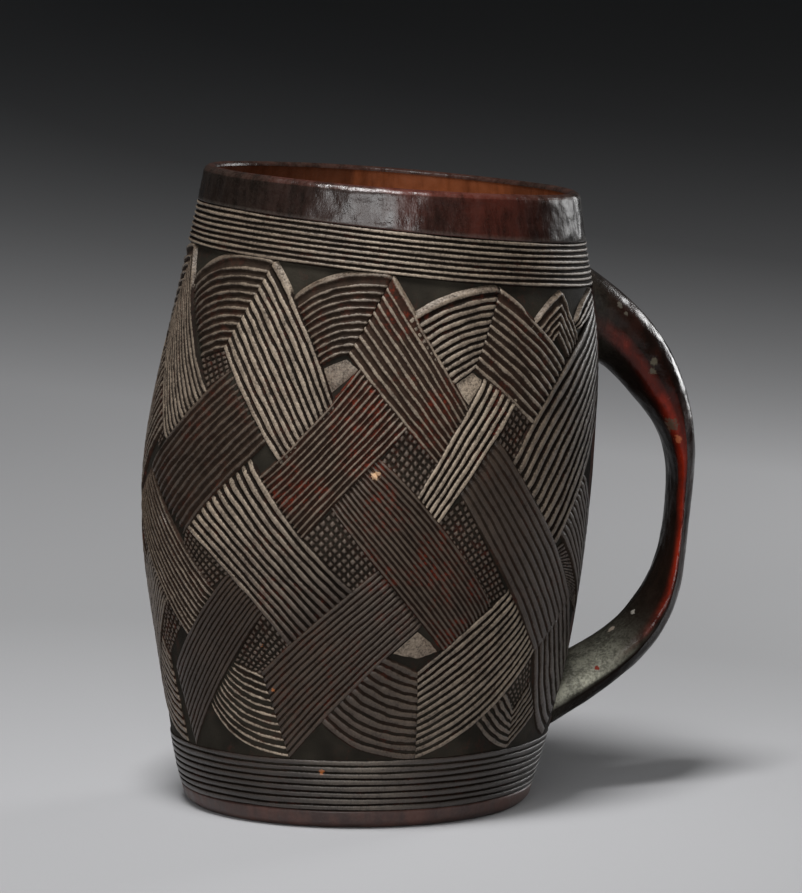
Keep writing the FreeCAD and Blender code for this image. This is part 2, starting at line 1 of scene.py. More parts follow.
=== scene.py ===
"""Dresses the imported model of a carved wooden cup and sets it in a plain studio."""
import logging
import math
from dataclasses import dataclass, replace
from enum import Enum

import bpy
import numpy as np
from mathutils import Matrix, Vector


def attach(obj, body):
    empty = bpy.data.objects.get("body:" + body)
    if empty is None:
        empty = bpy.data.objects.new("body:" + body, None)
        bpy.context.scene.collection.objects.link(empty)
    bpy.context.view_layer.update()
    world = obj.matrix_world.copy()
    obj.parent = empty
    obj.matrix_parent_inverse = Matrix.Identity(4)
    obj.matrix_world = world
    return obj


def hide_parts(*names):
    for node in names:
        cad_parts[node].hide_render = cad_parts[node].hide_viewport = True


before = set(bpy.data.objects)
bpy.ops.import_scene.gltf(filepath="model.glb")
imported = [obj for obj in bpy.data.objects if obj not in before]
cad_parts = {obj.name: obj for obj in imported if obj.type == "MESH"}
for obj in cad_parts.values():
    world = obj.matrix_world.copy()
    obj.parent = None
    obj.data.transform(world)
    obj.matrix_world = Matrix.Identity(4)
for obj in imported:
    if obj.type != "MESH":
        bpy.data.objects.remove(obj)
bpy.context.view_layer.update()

BODY = "root"
MM = 0.001
# Degrees round the body that face the camera; the painted highlights of the lined bands and the lip centre
# here.
FRONT_ANGLE = -12.0
LOG = logging.getLogger("cup")

Colour = tuple[float, float, float]
Side = tuple[tuple[float, float], ...]
Grid = tuple[np.ndarray, dict[str, np.ndarray | float]]


@dataclass
class Shade:
    """A value that varies over a surface; sums and products with it are nodes of its tree."""

    tree: "NodeTree"
    socket: bpy.types.NodeSocket

    def math(self, operation: str, other: "Shade | float") -> "Shade":
        """The result of a math node.

        Args:
            operation: The name of the node's operation.
            other: The second value.

        Returns:
            The result.
        """
        node = self.tree.add("Math", operation=operation)
        self.tree.feed(node.inputs[0], self)
        self.tree.feed(node.inputs[1], other)
        return Shade(self.tree, node.outputs["Value"])

    def __add__(self, other: "Shade | float") -> "Shade":
        """The sum with another value."""
        return self.math("ADD", other)

    def __mul__(self, other: "Shade | float") -> "Shade":
        """The product with another value."""
        return self.math("MULTIPLY", other)

    def __truediv__(self, other: "Shade | float") -> "Shade":
        """The quotient by another value."""
        return self.math("DIVIDE", other)

    def span(self, low: float, high: float, to_low: float = 0.0, to_high: float = 1.0) -> "Shade":
        """The value stretched smoothly from one range to another and held at its ends.

        Args:
            low: Where the range starts.
            high: Where the range ends.
            to_low: The result at the start.
            to_high: The result at the end.

        Returns:
            The stretched value.
        """
        node = self.tree.add("MapRange", interpolation_type="SMOOTHSTEP")
        self.tree.feed(node.inputs["Value"], self)
        for name, number in (("From Min", low), ("From Max", high), ("To Min", to_low), ("To Max", to_high)):
            node.inputs[name].default_value = number
        return Shade(self.tree, node.outputs["Result"])


class NodeTree:
    """The shader nodes of one material."""

    def __init__(self, name: str) -> None:
        """Starts an empty node material.

        Args:
            name: The material's name.
        """
        self.material = bpy.data.materials.new(name)
        self.material.use_nodes = True
        self.tree = self.material.node_tree
        self.tree.nodes.clear()
        self.output = self.add("OutputMaterial")
        self.place = self.add("TexCoord").outputs["Object"]

    def add(self, kind: str, **values: object) -> bpy.types.Node:
        """Adds a node.

        Args:
            kind: The node's type without its prefix.
            **values: Attributes of the node.

        Returns:
            The new node.
        """
        node = self.tree.nodes.new(f"ShaderNode{kind}")
        for key, value in values.items():
            setattr(node, key, value)
        return node

    def join(self, source: bpy.types.NodeSocket, target: bpy.types.NodeSocket) -> None:
        """Links two sockets."""
        self.tree.links.new(source, target)

    def feed(self, target: bpy.types.NodeSocket, value: "Shade | Colour | float") -> None:
        """Joins a value to a socket, or writes a constant into it.

        Args:
            target: The socket.
            value: A value of this tree, or a constant.
        """
        if isinstance(value, Shade):
            self.join(value.socket, target)
        else:
            target.default_value = value

    def value(self, name: str) -> Shade:
        """A value that the mesh carries at its points."""
        return Shade(self, self.add("Attribute", attribute_name=name).outputs["Fac"])

    def measure(self, operation: str, vector: Colour = (0.0, 0.0, 0.0)) -> Shade:
        """A measure of the place on the object, such as its distance from a point.

        Args:
            operation: The name of the vector node's operation.
            vector: The point or direction that it is measured with.

        Returns:
            The measure in metres.
        """
        node = self.add("VectorMath", operation=operation)
        self.join(self.place, node.inputs[0])
        node.inputs[1].default_value = vector
        return Shade(self, node.outputs["Value"])

    def noise(self, scale: float, detail: float = 3.0, roughness: float = 0.55,
              stretch: Colour | None = None) -> Shade:
        """Noise fixed to the object.

        Args:
            scale: Features per metre.
            detail: Octaves.
            roughness: Weight of the finer octaves.
            stretch: Factors on the three axes, or None.

        Returns:
            The noise.
        """
        node = self.add("TexNoise")
        for name, number in (("Scale", scale), ("Detail", detail), ("Roughness", roughness)):
            node.inputs[name].default_value = number
        source = self.place
        if stretch is not None:
            mapping = self.add("Mapping")
            mapping.inputs["Scale"].default_value = stretch
            self.join(source, mapping.inputs["Vector"])
            source = mapping.outputs["Vector"]
        self.join(source, node.inputs["Vector"])
        return Shade(self, node.outputs["Fac"])

    def mix(self, share: Shade, first: Shade | Colour, second: Shade | Colour) -> Shade:
        """A mix of two colours.

        Args:
            share: The part of the second colour.
            first: The first colour.
            second: The second colour.

        Returns:
            The mixed colour.
        """
        node = self.add("Mix", data_type="RGBA", clamp_factor=True)
        self.feed(node.inputs["Factor"], share)
        sockets = [item for item in node.inputs if item.type == "RGBA"]
        for socket, colour in zip(sockets, (first, second)):
            self.feed(socket, colour if isinstance(colour, Shade) else (*colour, 1.0))
        return Shade(self, next(item for item in node.outputs if item.type == "RGBA"))

    def finish(self, colour: Shade, roughness: Shade | float, height: Shade, depth: float,
               **values: Shade | float) -> bpy.types.Material:
        """Ends the tree in one surface shader.

        Args:
            colour: The base colour.
            roughness: The roughness.
            height: The fine relief.
            depth: Depth of the fine relief in metres.
            **values: Values for the shader's own inputs, with underscores for spaces.

        Returns:
            The material.
        """
        shader = self.add("BsdfPrincipled")
        bump = self.add("Bump")
        bump.inputs["Strength"].default_value = 1.0
        bump.inputs["Distance"].default_value = depth
        self.feed(bump.inputs["Height"], height)
        self.join(bump.outputs["Normal"], shader.inputs["Normal"])
        for name, value in {"Base_Color": colour, "Roughness": roughness, **values}.items():
            self.feed(shader.inputs[name.replace("_", " ")], value)
        self.join(shader.outputs["BSDF"], self.output.inputs["Surface"])
        return self.material


@dataclass(frozen=True)
class Mark:
    """A small knock or scratch that shows fresh wood."""

    place: Colour
    radius: float
    colour: Colour = (0.40, 0.13, 0.035)
    edge: float = 0.4

    def share(self, tree: NodeTree, ragged: Shade) -> Shade:
        """How much of the mark shows at each point.

        Args:
            tree: The material's tree.
            ragged: Noise that breaks up the mark's edge.

        Returns:
            The share, from 0 to 1.
        """
        rough = self.edge * self.radius
        wide = tree.measure("DISTANCE", self.place) + ragged.span(0.3, 0.7, -rough, rough)
        return wide.span(0.6 * self.radius, self.radius, 0.95, 0.0)


MARKS: tuple[Mark, ...] = (
    Mark((-0.0089, -0.0607, 0.0970), 0.0015, (0.60, 0.38, 0.22)),
    Mark((-0.0361, -0.0442, 0.0500), 0.0009),
    Mark((-0.0357, -0.0438, 0.0470), 0.0008),
    Mark((-0.0330, -0.0443, 0.0380), 0.0008),
    Mark((-0.0205, -0.0471, 0.0160), 0.0009),
)
HANDLE_MARKS: tuple[Mark, ...] = (
    Mark((0.0714, -0.0109, 0.1354), 0.0010, (0.085, 0.075, 0.06)),
    Mark((0.0731, -0.0110, 0.1330), 0.0007, (0.075, 0.065, 0.05)),
    Mark((0.0812, -0.0108, 0.1195), 0.0012, (0.070, 0.060, 0.042)),
    Mark((0.0809, -0.0107, 0.1168), 0.0011, (0.060, 0.050, 0.035)),
    Mark((0.0868, -0.0087, 0.1017), 0.0021, (0.070, 0.046, 0.030)),
    Mark((0.0888, -0.0087, 0.0977), 0.0012, (0.30, 0.085, 0.035)),
    Mark((0.0717, -0.0026, 0.0444), 0.0012, (0.36, 0.30, 0.24)),
    Mark((0.0775, -0.0042, 0.0492), 0.0009, (0.26, 0.24, 0.21)),
    Mark((0.0648, -0.0132, 0.0354), 0.0008, (0.22, 0.02, 0.010)),
)


@dataclass(frozen=True)
class CarvedWood:
    """Dark hardwood with cut grooves and worn, dusty crests; the grooves are painted near black,
    partly as painted shade.

    The mesh carries four values: crest, 0 in a groove and 1 on a crest; dust, how pale the
    crests are, raised in places as a painted highlight and lowered in places as painted shade; red,
    how much bare red wood shows; fill, how brown the grooves are, a painted light on their sides.
    """

    name: str
    groove: Colour = (0.0050, 0.0035, 0.0025)
    valley: Colour = (0.034, 0.0235, 0.0165)
    warm: Colour = (0.052, 0.018, 0.011)
    crest: Colour = (0.030, 0.0195, 0.0135)
    dusty: Colour = (0.34, 0.27, 0.20)
    bare: Colour = (0.17, 0.020, 0.008)
    groove_roughness: float = 0.7
    crest_roughness: float = 0.34
    grain_depth: float = 0.00013
    gloss: float = 0.38
    crest_blotch: float = 1.5
    groove_blotch: float = 2.2

    def build(self) -> bpy.types.Material:
        """Makes the material.

        Returns:
            The material.
        """
        tree = NodeTree(self.name)
        crest, dust_and_painted_light, red = tree.value("crest"), tree.value("dust_and_painted_light"), tree.value("red")
        broad = tree.noise(48.0, 3.0)
        middle = tree.noise(420.0, 4.0, 0.65)
        fine = tree.noise(1700.0, 4.0, 0.75)
        speck = tree.noise(3600.0, 2.0, 0.5)
        worn = crest + fine.span(0.3, 0.7, -0.14, 0.14) + middle.span(0.3, 0.7, -0.08, 0.06)
        on_crest = worn.span(0.45, 0.88)
        chalk = dust_and_painted_light * fine.span(0.32, 0.66, 0.55, 1.1) * middle.span(0.34, 0.62, 0.7, 1.05)
        lighter = tuple(self.crest_blotch * part for part in self.crest)
        top = tree.mix(chalk, tree.mix(broad.span(0.35, 0.68), self.crest, lighter), self.dusty)
        lighter = tuple(self.groove_blotch * part for part in self.groove)
        # Grooves: near black, partly painted shade, mixed towards a warm brown that paints light on their
        # sides.
        ground = tree.mix(broad.span(0.4, 0.7), self.groove, lighter)
        painted_groove_light = tree.value("painted_groove_light") * middle.span(0.32, 0.66, 0.55, 1.0)
        patches = tree.noise(80.0, 2.0, 0.5).span(0.43, 0.60)
        valley = tree.mix(red * patches.span(0.0, 1.0, 0.35, 0.85), self.valley, self.warm)
        ground = tree.mix(painted_groove_light, ground, valley)
        ground = tree.mix(speck.span(0.66, 0.74) * (dust_and_painted_light * 0.28), ground, self.dusty)
        streaks = tree.noise(380.0, 6.0, 0.8).span(0.50, 0.64, 0.0, 0.8)
        bare = red * (streaks * patches)
        ground = tree.mix(bare, ground, self.bare)
        top = tree.mix(bare * 0.25, top, self.bare)
        colour = tree.mix(on_crest, ground, top)
        colour = tree.mix(speck.span(0.30, 0.42, 0.6, 0.0), colour, self.groove)
        for mark in MARKS:
            colour = tree.mix(mark.share(tree, fine), colour, mark.colour)
        roughness = on_crest.span(0.0, 1.0, self.groove_roughness, self.crest_roughness) + dust_and_painted_light * 0.14
        return tree.finish(colour, roughness, fine + middle * 1.2, self.grain_depth,
                           Specular_IOR_Level=on_crest.span(0.0, 1.0, 0.06, self.gloss))


@dataclass(frozen=True)
class PolishedWood:
    """Hardwood polished by hands, with darker and redder places and a thin skin of wax.

    The mesh carries three values: dust, how pale it is; red, how much bare red wood shows; and
    shine, from dull and dark to polished, set low in places as painted shade.
    """

    name: str
    dark: Colour = (0.006, 0.0035, 0.0028)
    light: Colour = (0.026, 0.009, 0.006)
    bare: Colour = (0.16, 0.017, 0.006)
    dusty: Colour = (0.20, 0.175, 0.145)
    grain: Colour = (1.0, 1.0, 0.25)
    roughness: tuple[float, float] = (0.20, 0.40)
    bump_depth: float = 0.0005
    gloss: float = 0.5
    wax: float = 0.08
    marks: tuple[Mark, ...] = ()

    def build(self) -> bpy.types.Material:
        """Makes the material.

        Returns:
            The material.
        """
        tree = NodeTree(self.name)
        dust_and_painted_light, red, shine_and_painted_shade = tree.value("dust_and_painted_light"), tree.value("red"), tree.value("shine_and_painted_shade")
        broad = tree.noise(38.0, 4.0, 0.6)
        streaks = tree.noise(260.0, 4.0, 0.65, self.grain)
        fine = tree.noise(1400.0, 3.0, 0.6)
        dents = tree.noise(95.0, 2.0, 0.5)
        colour = tree.mix((broad + streaks * 0.6).span(0.62, 0.98), self.dark, self.light)
        colour = tree.mix(red * (streaks + broad).span(0.8, 1.15, 0.35, 1.0), colour, self.bare)
        # Low shine mixes in the dark colour: painted shade where the mesh sets it low.
        colour = tree.mix(shine_and_painted_shade.span(0.0, 1.0, 0.85, 0.0), colour, self.dark)
        colour = tree.mix(dust_and_painted_light * (fine + streaks).span(0.75, 1.25, 0.35, 1.0), colour, self.dusty)
        for mark in self.marks:
            colour = tree.mix(mark.share(tree, fine), colour, mark.colour)
        roughness = (broad + streaks).span(0.7, 1.25, *self.roughness) + dust_and_painted_light * 0.35
        return tree.finish(colour, roughness, dents * 1.4 + streaks * 0.22 + fine * 0.06, self.bump_depth,
                           Specular_IOR_Level=shine_and_painted_shade.span(0.0, 1.0, 0.0, self.gloss),
                           Coat_Weight=self.wax, Coat_Roughness=0.16)


@dataclass(frozen=True)
class PaperSweep:
    """Pale matt paper that falls off into shade far behind the cup.

    The steps are places between the middle and the reach, with the share of the near grey there.
    """

    name: str = "paper"
    near: float = 0.395
    far: float = 0.115
    reach: float = 5.0
    steps: Side = ((0.06, 0.79), (0.17, 1.19), (0.30, 0.80), (0.43, 0.50), (0.75, 0.33))
    slant: float = 1.1
    aside: Colour = (0.974, -0.225, 0.0)

    def build(self) -> bpy.types.Material:
        """Makes the material.

        Returns:
            The material.
        """
        tree = NodeTree(self.name)
        length = tree.measure("LENGTH")
        node = tree.add("ValToRGB")
        ramp = node.color_ramp.elements
        ramp[0].color = (self.near, self.near, self.near * 1.03, 1.0)
        ramp[1].color = (self.far, self.far, self.far, 1.0)
        for position, part in self.steps:
            grey = self.near * part
            ramp.new(position).color = (grey, grey, grey * 1.02, 1.0)
        # Painted shade on the paper: it darkens with distance, and sooner towards one side.
        skew = tree.measure("DOT_PRODUCT", self.aside) * self.slant + 1.0
        tree.feed(node.inputs["Fac"], length / self.reach * skew)
        return tree.finish(Shade(tree, node.outputs["Color"]), 0.9, tree.noise(900.0), 0.00005)


class SmoothCurve:
    """A smooth curve through given places and values, read for whole arrays at once."""

    def __init__(self, places: list[float], values: list[float]) -> None:
        """Works out the curve.

        Args:
            places: Where the values are given, growing.
            values: One value for each place.
        """
        self.places = np.asarray(places, float)
        self.values = np.asarray(values, float)
        gaps = np.diff(self.places)
        slopes = np.diff(self.values) / gaps
        count = len(self.places)
        matrix = np.eye(count)
        right = np.zeros(count)
        for row in range(1, count - 1):
            matrix[row, row - 1:row + 2] = gaps[row - 1], 2 * (gaps[row - 1] + gaps[row]), gaps[row]
            right[row] = 6 * (slopes[row] - slopes[row - 1])
        self.bends = np.linalg.solve(matrix, right)

    def __call__(self, at: np.ndarray | float) -> np.ndarray:
        """The curve's values.

        Args:
            at: Places to read it at.

        Returns:
            One value for each place.
        """
        at = np.asarray(at, float)
        low = np.clip(np.searchsorted(self.places, at) - 1, 0, len(self.places) - 2)
        gap = self.places[low + 1] - self.places[low]
        after = (at - self.places[low]) / gap
        before = 1 - after
        bend = (before ** 3 - before) * self.bends[low] + (after ** 3 - after) * self.bends[low + 1]
        return before * self.values[low] + after * self.values[low + 1] + bend * gap ** 2 / 6


def bell(value: np.ndarray, middle: float, width: np.ndarray | float, power: int = 2) -> np.ndarray:
    """A bell curve that is 1 at its middle."""
    return np.exp(-((value - middle) / width) ** power)


class Zone(Enum):
    """The zones of the cup between two levels, each tilted in its own way."""

    LOWER_BAND = ("margin_top", "foot_lines")
    FIELD = ("foot_lines", "band_low")
    UPPER_BAND = ("band_low", "band_high")


@dataclass
class CupForm:
    """The leaning barrel that every zone of the cup is laid on, in metres and degrees.

    The tables give sections below and above the belly as shares: of the height, of the way from the
    radius of the foot or lip to that of the belly, and of the mouth's lean.
    """

    height: float = 0.1714
    foot_radius: float = 0.0474
    belly_radius: float = 0.062
    lip_radius: float = 0.0514
    mouth_lean: float = 0.00935
    foot_margin: float = 0.005
    lower_band: float = 0.0145
    upper_band: float = 0.0119
    rim: float = 0.01135
    band_tilt: float = 6.3
    lip_tilt: float = 4.3
    ground: float = 0.00125
    guard: float = 0.00028
    level_passes: int = 6
    lean_shares: Colour = (1.016, 1.059, 1.07)
    lower_shares: tuple[Colour, ...] = (
        (0.0, 0.0, 0.0), (0.05, 0.17, 0.01), (0.1138, 0.353, 0.08),
        (0.25, 0.665, 0.19), (0.40, 0.915, 0.215), (0.525, 1.0, 0.32))
    upper_shares: tuple[Colour, ...] = (
        (0.64, 0.925, 0.535), (0.76, 0.703, 0.79), (0.88, 0.344, 0.90), (1.0, 0.0, 1.0), (1.05, -0.14, 1.03))

    def __post_init__(self) -> None:
        """Lays the curves of radius and lean and the tilted levels."""
        heights, radii, leans = [], [], []
        for table, end in ((self.lower_shares, self.foot_radius), (self.upper_shares, self.lip_radius)):
            for height, radius, lean in table:
                heights.append(self.height * height)
                radii.append(end + (self.belly_radius - end) * radius)
                leans.append(self.mouth_lean * lean)
        self.radius = SmoothCurve(heights, radii)
        self.lean = SmoothCurve(heights, leans)
        low_middle, high_middle, lip_middle = (self.mouth_lean * share for share in self.lean_shares)
        lip = self.height - lip_middle * math.tan(math.radians(self.lip_tilt))
        self.planes = {
            "margin_top": (self.foot_margin, 0.0, 0.0),
            "foot_lines": (self.foot_margin + self.lower_band, 0.0, 0.0),
            "band_low": (lip - self.rim - self.upper_band, low_middle, self.band_tilt),
            "band_high": (lip - self.rim, high_middle, self.band_tilt),
            "lip": (lip, lip_middle, self.lip_tilt),
        }

    def level(self, name: str, angle: np.ndarray) -> np.ndarray:
        """The height of a level where it meets the body.

        Args:
            name: The level's name.
            angle: Degrees round the body from the front.

        Returns:
            Heights in metres.
        """
        middle, centre, tilt = self.planes[name]
        turn = np.sin(np.radians(angle))
        height = np.full_like(turn, middle)
        for _ in range(self.level_passes):
            reach = self.lean(height) + self.radius(height) * turn
            height = middle - math.tan(math.radians(tilt)) * (reach - centre)
        return height

    def height_in(self, zone: Zone, angle: np.ndarray, share: np.ndarray | float) -> np.ndarray:
        """The height at a share of the way up a zone."""
        low, high = (self.level(name, angle) for name in zone.value)
        return low + (high - low) * share

    def point(self, angle: np.ndarray, height: np.ndarray, inset: np.ndarray | float) -> np.ndarray:
        """Points on the body or inside it.

        Args:
            angle: Degrees round the body from the front.
            height: Heights in metres.
            inset: Depth below the level of the straps in metres.

        Returns:
            An array with x, y and z last.
        """
        turn = np.radians(angle)
        radius = np.minimum(self.radius(height), self.belly_radius) - inset - self.guard
        return np.stack([self.lean(height) + radius * np.sin(turn), -radius * np.cos(turn),
                         np.broadcast_to(height, radius.shape)], axis=-1)

    def in_field(self, place: np.ndarray, inset: np.ndarray | float) -> np.ndarray:
        """Points of the carved field from the angles and the shares of its height."""
        angle, share = place[..., 0], place[..., 1]
        return self.point(angle, self.height_in(Zone.FIELD, angle, share), inset)


class Waver:
    """Seeded hand irregularity: smooth waves that differ from line to line."""

    octaves = 3
    fade = 0.6
    peak = 1.96

    def __init__(self, seed: int) -> None:
        """Starts the sequence; the same seed gives the same waves."""
        self.random = np.random.default_rng(seed)

    def lines(self, count: int, along: np.ndarray, waves: float = 3.0, closed: bool = False) -> np.ndarray:
        """One smooth wave for each line, between about -1 and 1.

        Args:
            count: Number of lines.
            along: Places along a line from 0 to 1.
            waves: Waves along a line at most.
            closed: True if the line is a ring.

        Returns:
            An array of places by lines.
        """
        result = np.zeros((len(along), count))
        for octave in range(self.octaves):
            turns = self.random.uniform(0.3, 1.0, count) * waves * (1 + octave)
            if closed:
                turns = np.maximum(np.round(turns), 1)
            phase = self.random.uniform(0, 2 * math.pi, count)
            result += np.sin(2 * math.pi * along[:, None] * turns[None, :] + phase) * self.fade ** octave
        return result / self.peak


def make_piece(name: str, grids: list[Grid], finish: bpy.types.Material, node: str,
               closed: bool = False, caps: bool = False) -> None:
    """Makes a piece that rides on the body in place of a CAD node.

    Args:
        name: The piece's name.
        grids: For each grid its points, with columns to the right and rows down as seen from
            outside, and their values by name.
        finish: The piece's material.
        node: The CAD node that the piece stands in for, which is hidden.
        closed: True if the last column joins the first.
        caps: True if the first and the last row are filled.
    """
    faces, start = [], 0
    for points, _ in grids:
        number = start + np.arange(points[..., 0].size).reshape(points.shape[:2])
        right = np.roll(number, -1, axis=1) if closed else number[:, 1:]
        left = number if closed else number[:, :-1]
        quads = np.stack([left[:-1], left[1:], right[1:], right[:-1]], axis=-1)
        faces += quads.reshape(-1, 4).tolist()
        if caps:
            faces += [number[0].tolist(), number[-1][::-1].tolist()]
        start += number.size
    mesh = bpy.data.meshes.new(name)
    mesh.from_pydata(np.concatenate([points.reshape(-1, 3) for points, _ in grids]).tolist(), [], faces)
    for key in grids[0][1]:
        layer = mesh.attributes.new(key, "FLOAT", "POINT")
        spread = [np.broadcast_to(values[key], points.shape[:2]).ravel() for points, values in grids]
        layer.data.foreach_set("value", np.concatenate(spread))
    mesh.shade_smooth()
    piece = bpy.data.objects.new(name, mesh)
    piece.data.materials.append(finish)
    bpy.context.scene.collection.objects.link(piece)
    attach(piece, BODY)
    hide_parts(node)
    LOG.info("made %s with %d faces", name, len(faces))


def pad_edges(grid: np.ndarray) -> np.ndarray:
    """A grid with its border doubled."""
    return np.pad(grid, ((1, 1), (1, 1)) + ((0, 0),) * (grid.ndim - 2), mode="edge")


def ridge_profile(count: int, share: float, bowl: float, shoulder: float, flank: float) -> list[np.ndarray]:
    """The mesh lines across a row of ridges.

    Args:
        count: Number of ridges.
        share: Part of the pitch left as crest.
        bowl: Depth halfway up a groove's side as a part of the groove's.
        shoulder: Depth at a crest's edge as a part of the groove's.
        flank: Crest value halfway up a groove's side.

    Returns:
        The place of each mesh line in ridges, its depth as a part of the groove's, its crest value.
    """
    half = (1 - share) / 2
    places = np.array([0.0, 0.5 * half, half, 0.5, 1 - half, 1 - 0.5 * half])
    return [np.append((np.arange(count)[:, None] + places).ravel(), count),
            np.append(np.tile([1.0, bowl, shoulder, 0.0, shoulder, bowl], count), 1.0),
            np.append(np.tile([0.0, flank, 0.92, 1.0, 0.92, flank], count), 0.0)]


class Cut(Enum):
    """How a strap's lines are cut.

    The values are the share of the pitch left as crest, the depth of a line in metres, the depth
    halfway up its sides as a share of that, and how brown the line is, a painted light on its sides.
    """

    BROAD = (0.44, 0.00076, 0.58, 0.12)
    THIN = (0.16, 0.00078, 0.84, 0.75)
    WORN = (0.52, 0.00058, 0.62, 0.55)
    FINE = (0.36, 0.00050, 0.62, 0.50)
    SHALLOW = (0.56, 0.00030, 0.55, 0.75)
    NARROW = (0.20, 0.00078, 0.82, 0.80)


class Joint(Enum):
    """How a strap meets what lies round it.

    The values say whether its left and its right end turn round a mitre and don't run under a
    strap, how far its upper side slopes into a sunk triangle in millimetres, and along what part.
    """

    WOVEN = (False, False, 0.0, 1.0)
    EDGE = (False, False, 0.5, 1.0)
    LEG = (True, False, 1.1, 0.32)
    ARC = (False, True, 1.5, 1.0)
    SMALL_ARC = (False, True, 1.1, 1.0)
    FAN = (False, True, 0.0, 1.0)
    FOOT = (True, False, 0.0, 1.0)


@dataclass(frozen=True)
class Strap:
    """One strap of the weave: its two sides from left to right, its lines and its looks.

    A point of a side is the angle round the body in degrees and the share of the height between
    the two lined bands. Dust and red are given at the left and at the right end; on the straps at the
    left side the dust is lower at the left end, as painted shade where the light falls away.
    """

    upper: Side
    lower: Side
    ridges: int
    cut: Cut
    dust_and_painted_light: tuple[float, float]
    red: tuple[float, float]
    joint: Joint = Joint.WOVEN


# On the straps at the left side the lower dust towards the left end is painted shade.
FRONT_FALLING: tuple[Strap, ...] = (
    Strap(((-87, 0.995), (-77.5, 0.866), (-63, 0.733)), ((-97, 0.835), (-78.5, 0.62)),
          12, Cut.BROAD, (0.3, 0.6), (0.1, 0.1), Joint.LEG),
    Strap(((-46.5, 0.995), (-35.5, 0.894), (-24.5, 0.743)), ((-59, 0.815), (-36.5, 0.612)),
          12, Cut.BROAD, (0.95, 0.85), (0.1, 0.15), Joint.LEG),
    Strap(((-11.5, 0.996), (10.5, 0.746)), ((-22, 0.835), (3.5, 0.627)),
          10, Cut.NARROW, (0.8, 0.65), (0.6, 0.9), Joint.LEG),
    Strap(((19.5, 0.99), (32, 0.925), (43, 0.848)), ((11.5, 0.825), (31, 0.708)),
          10, Cut.NARROW, (0.75, 0.65), (0.4, 0.5), Joint.LEG),
    Strap(((44, 0.986), (50.5, 0.9)), ((40, 0.9), (44.5, 0.853)),
          5, Cut.NARROW, (0.45, 0.45), (0.1, 0.1), Joint.LEG),
    Strap(((-84, 0.55), (-56, 0.343)), ((-100, 0.475), (-67.5, 0.228)),
          11, Cut.NARROW, (0.12, 0.55), (0.1, 0.1)),
    Strap(((-43, 0.599), (-29, 0.463), (-15.5, 0.359)), ((-64, 0.451), (-48.5, 0.365), (-33, 0.237)),
          12, Cut.BROAD, (1, 0.05), (0.1, 0.5)),
    Strap(((-10, 0.627), (5.7, 0.5), (21.5, 0.333)), ((-21, 0.518), (9, 0.231)),
          15, Cut.FINE, (0.18, 0.12), (0.9, 1)),
    Strap(((21, 0.668), (58, 0.314)), ((11.5, 0.554), (40.5, 0.212)),
          9, Cut.SHALLOW, (0.05, 0.04), (0.2, 0.1)),
    Strap(((60, 0.585), (80, 0.42)), ((48, 0.46), (80, 0.22)),
          10, Cut.SHALLOW, (0.08, 0.05), (0.05, 0.05)),
    Strap(((-49.5, 0.19), (-41.4, 0.172)), ((-60.5, 0.087), (-50, 0.024), (-34, 0)),
          11, Cut.THIN, (0.55, 1.1), (0.2, 0.2), Joint.FAN),
    Strap(((-7, 0.22), (1.75, 0.188)), ((-24, 0.077), (-12, 0.02), (3.6, 0)),
          11, Cut.WORN, (0.06, 0.16), (0.3, 0.2), Joint.FAN),
    Strap(((31, 0.13), (35.5, 0.085)), ((22.5, 0.06), (29, 0.02), (36.2, 0)),
          6, Cut.BROAD, (0.3, 0.35), (0.1, 0.1), Joint.FAN),
    Strap(((58, 0.314), (67, 0.215), (80, 0.14)), ((40.5, 0.212), (50, 0.045), (66, 0)),
          8, Cut.WORN, (0.06, 0.03), (0.05, 0.05)),
)
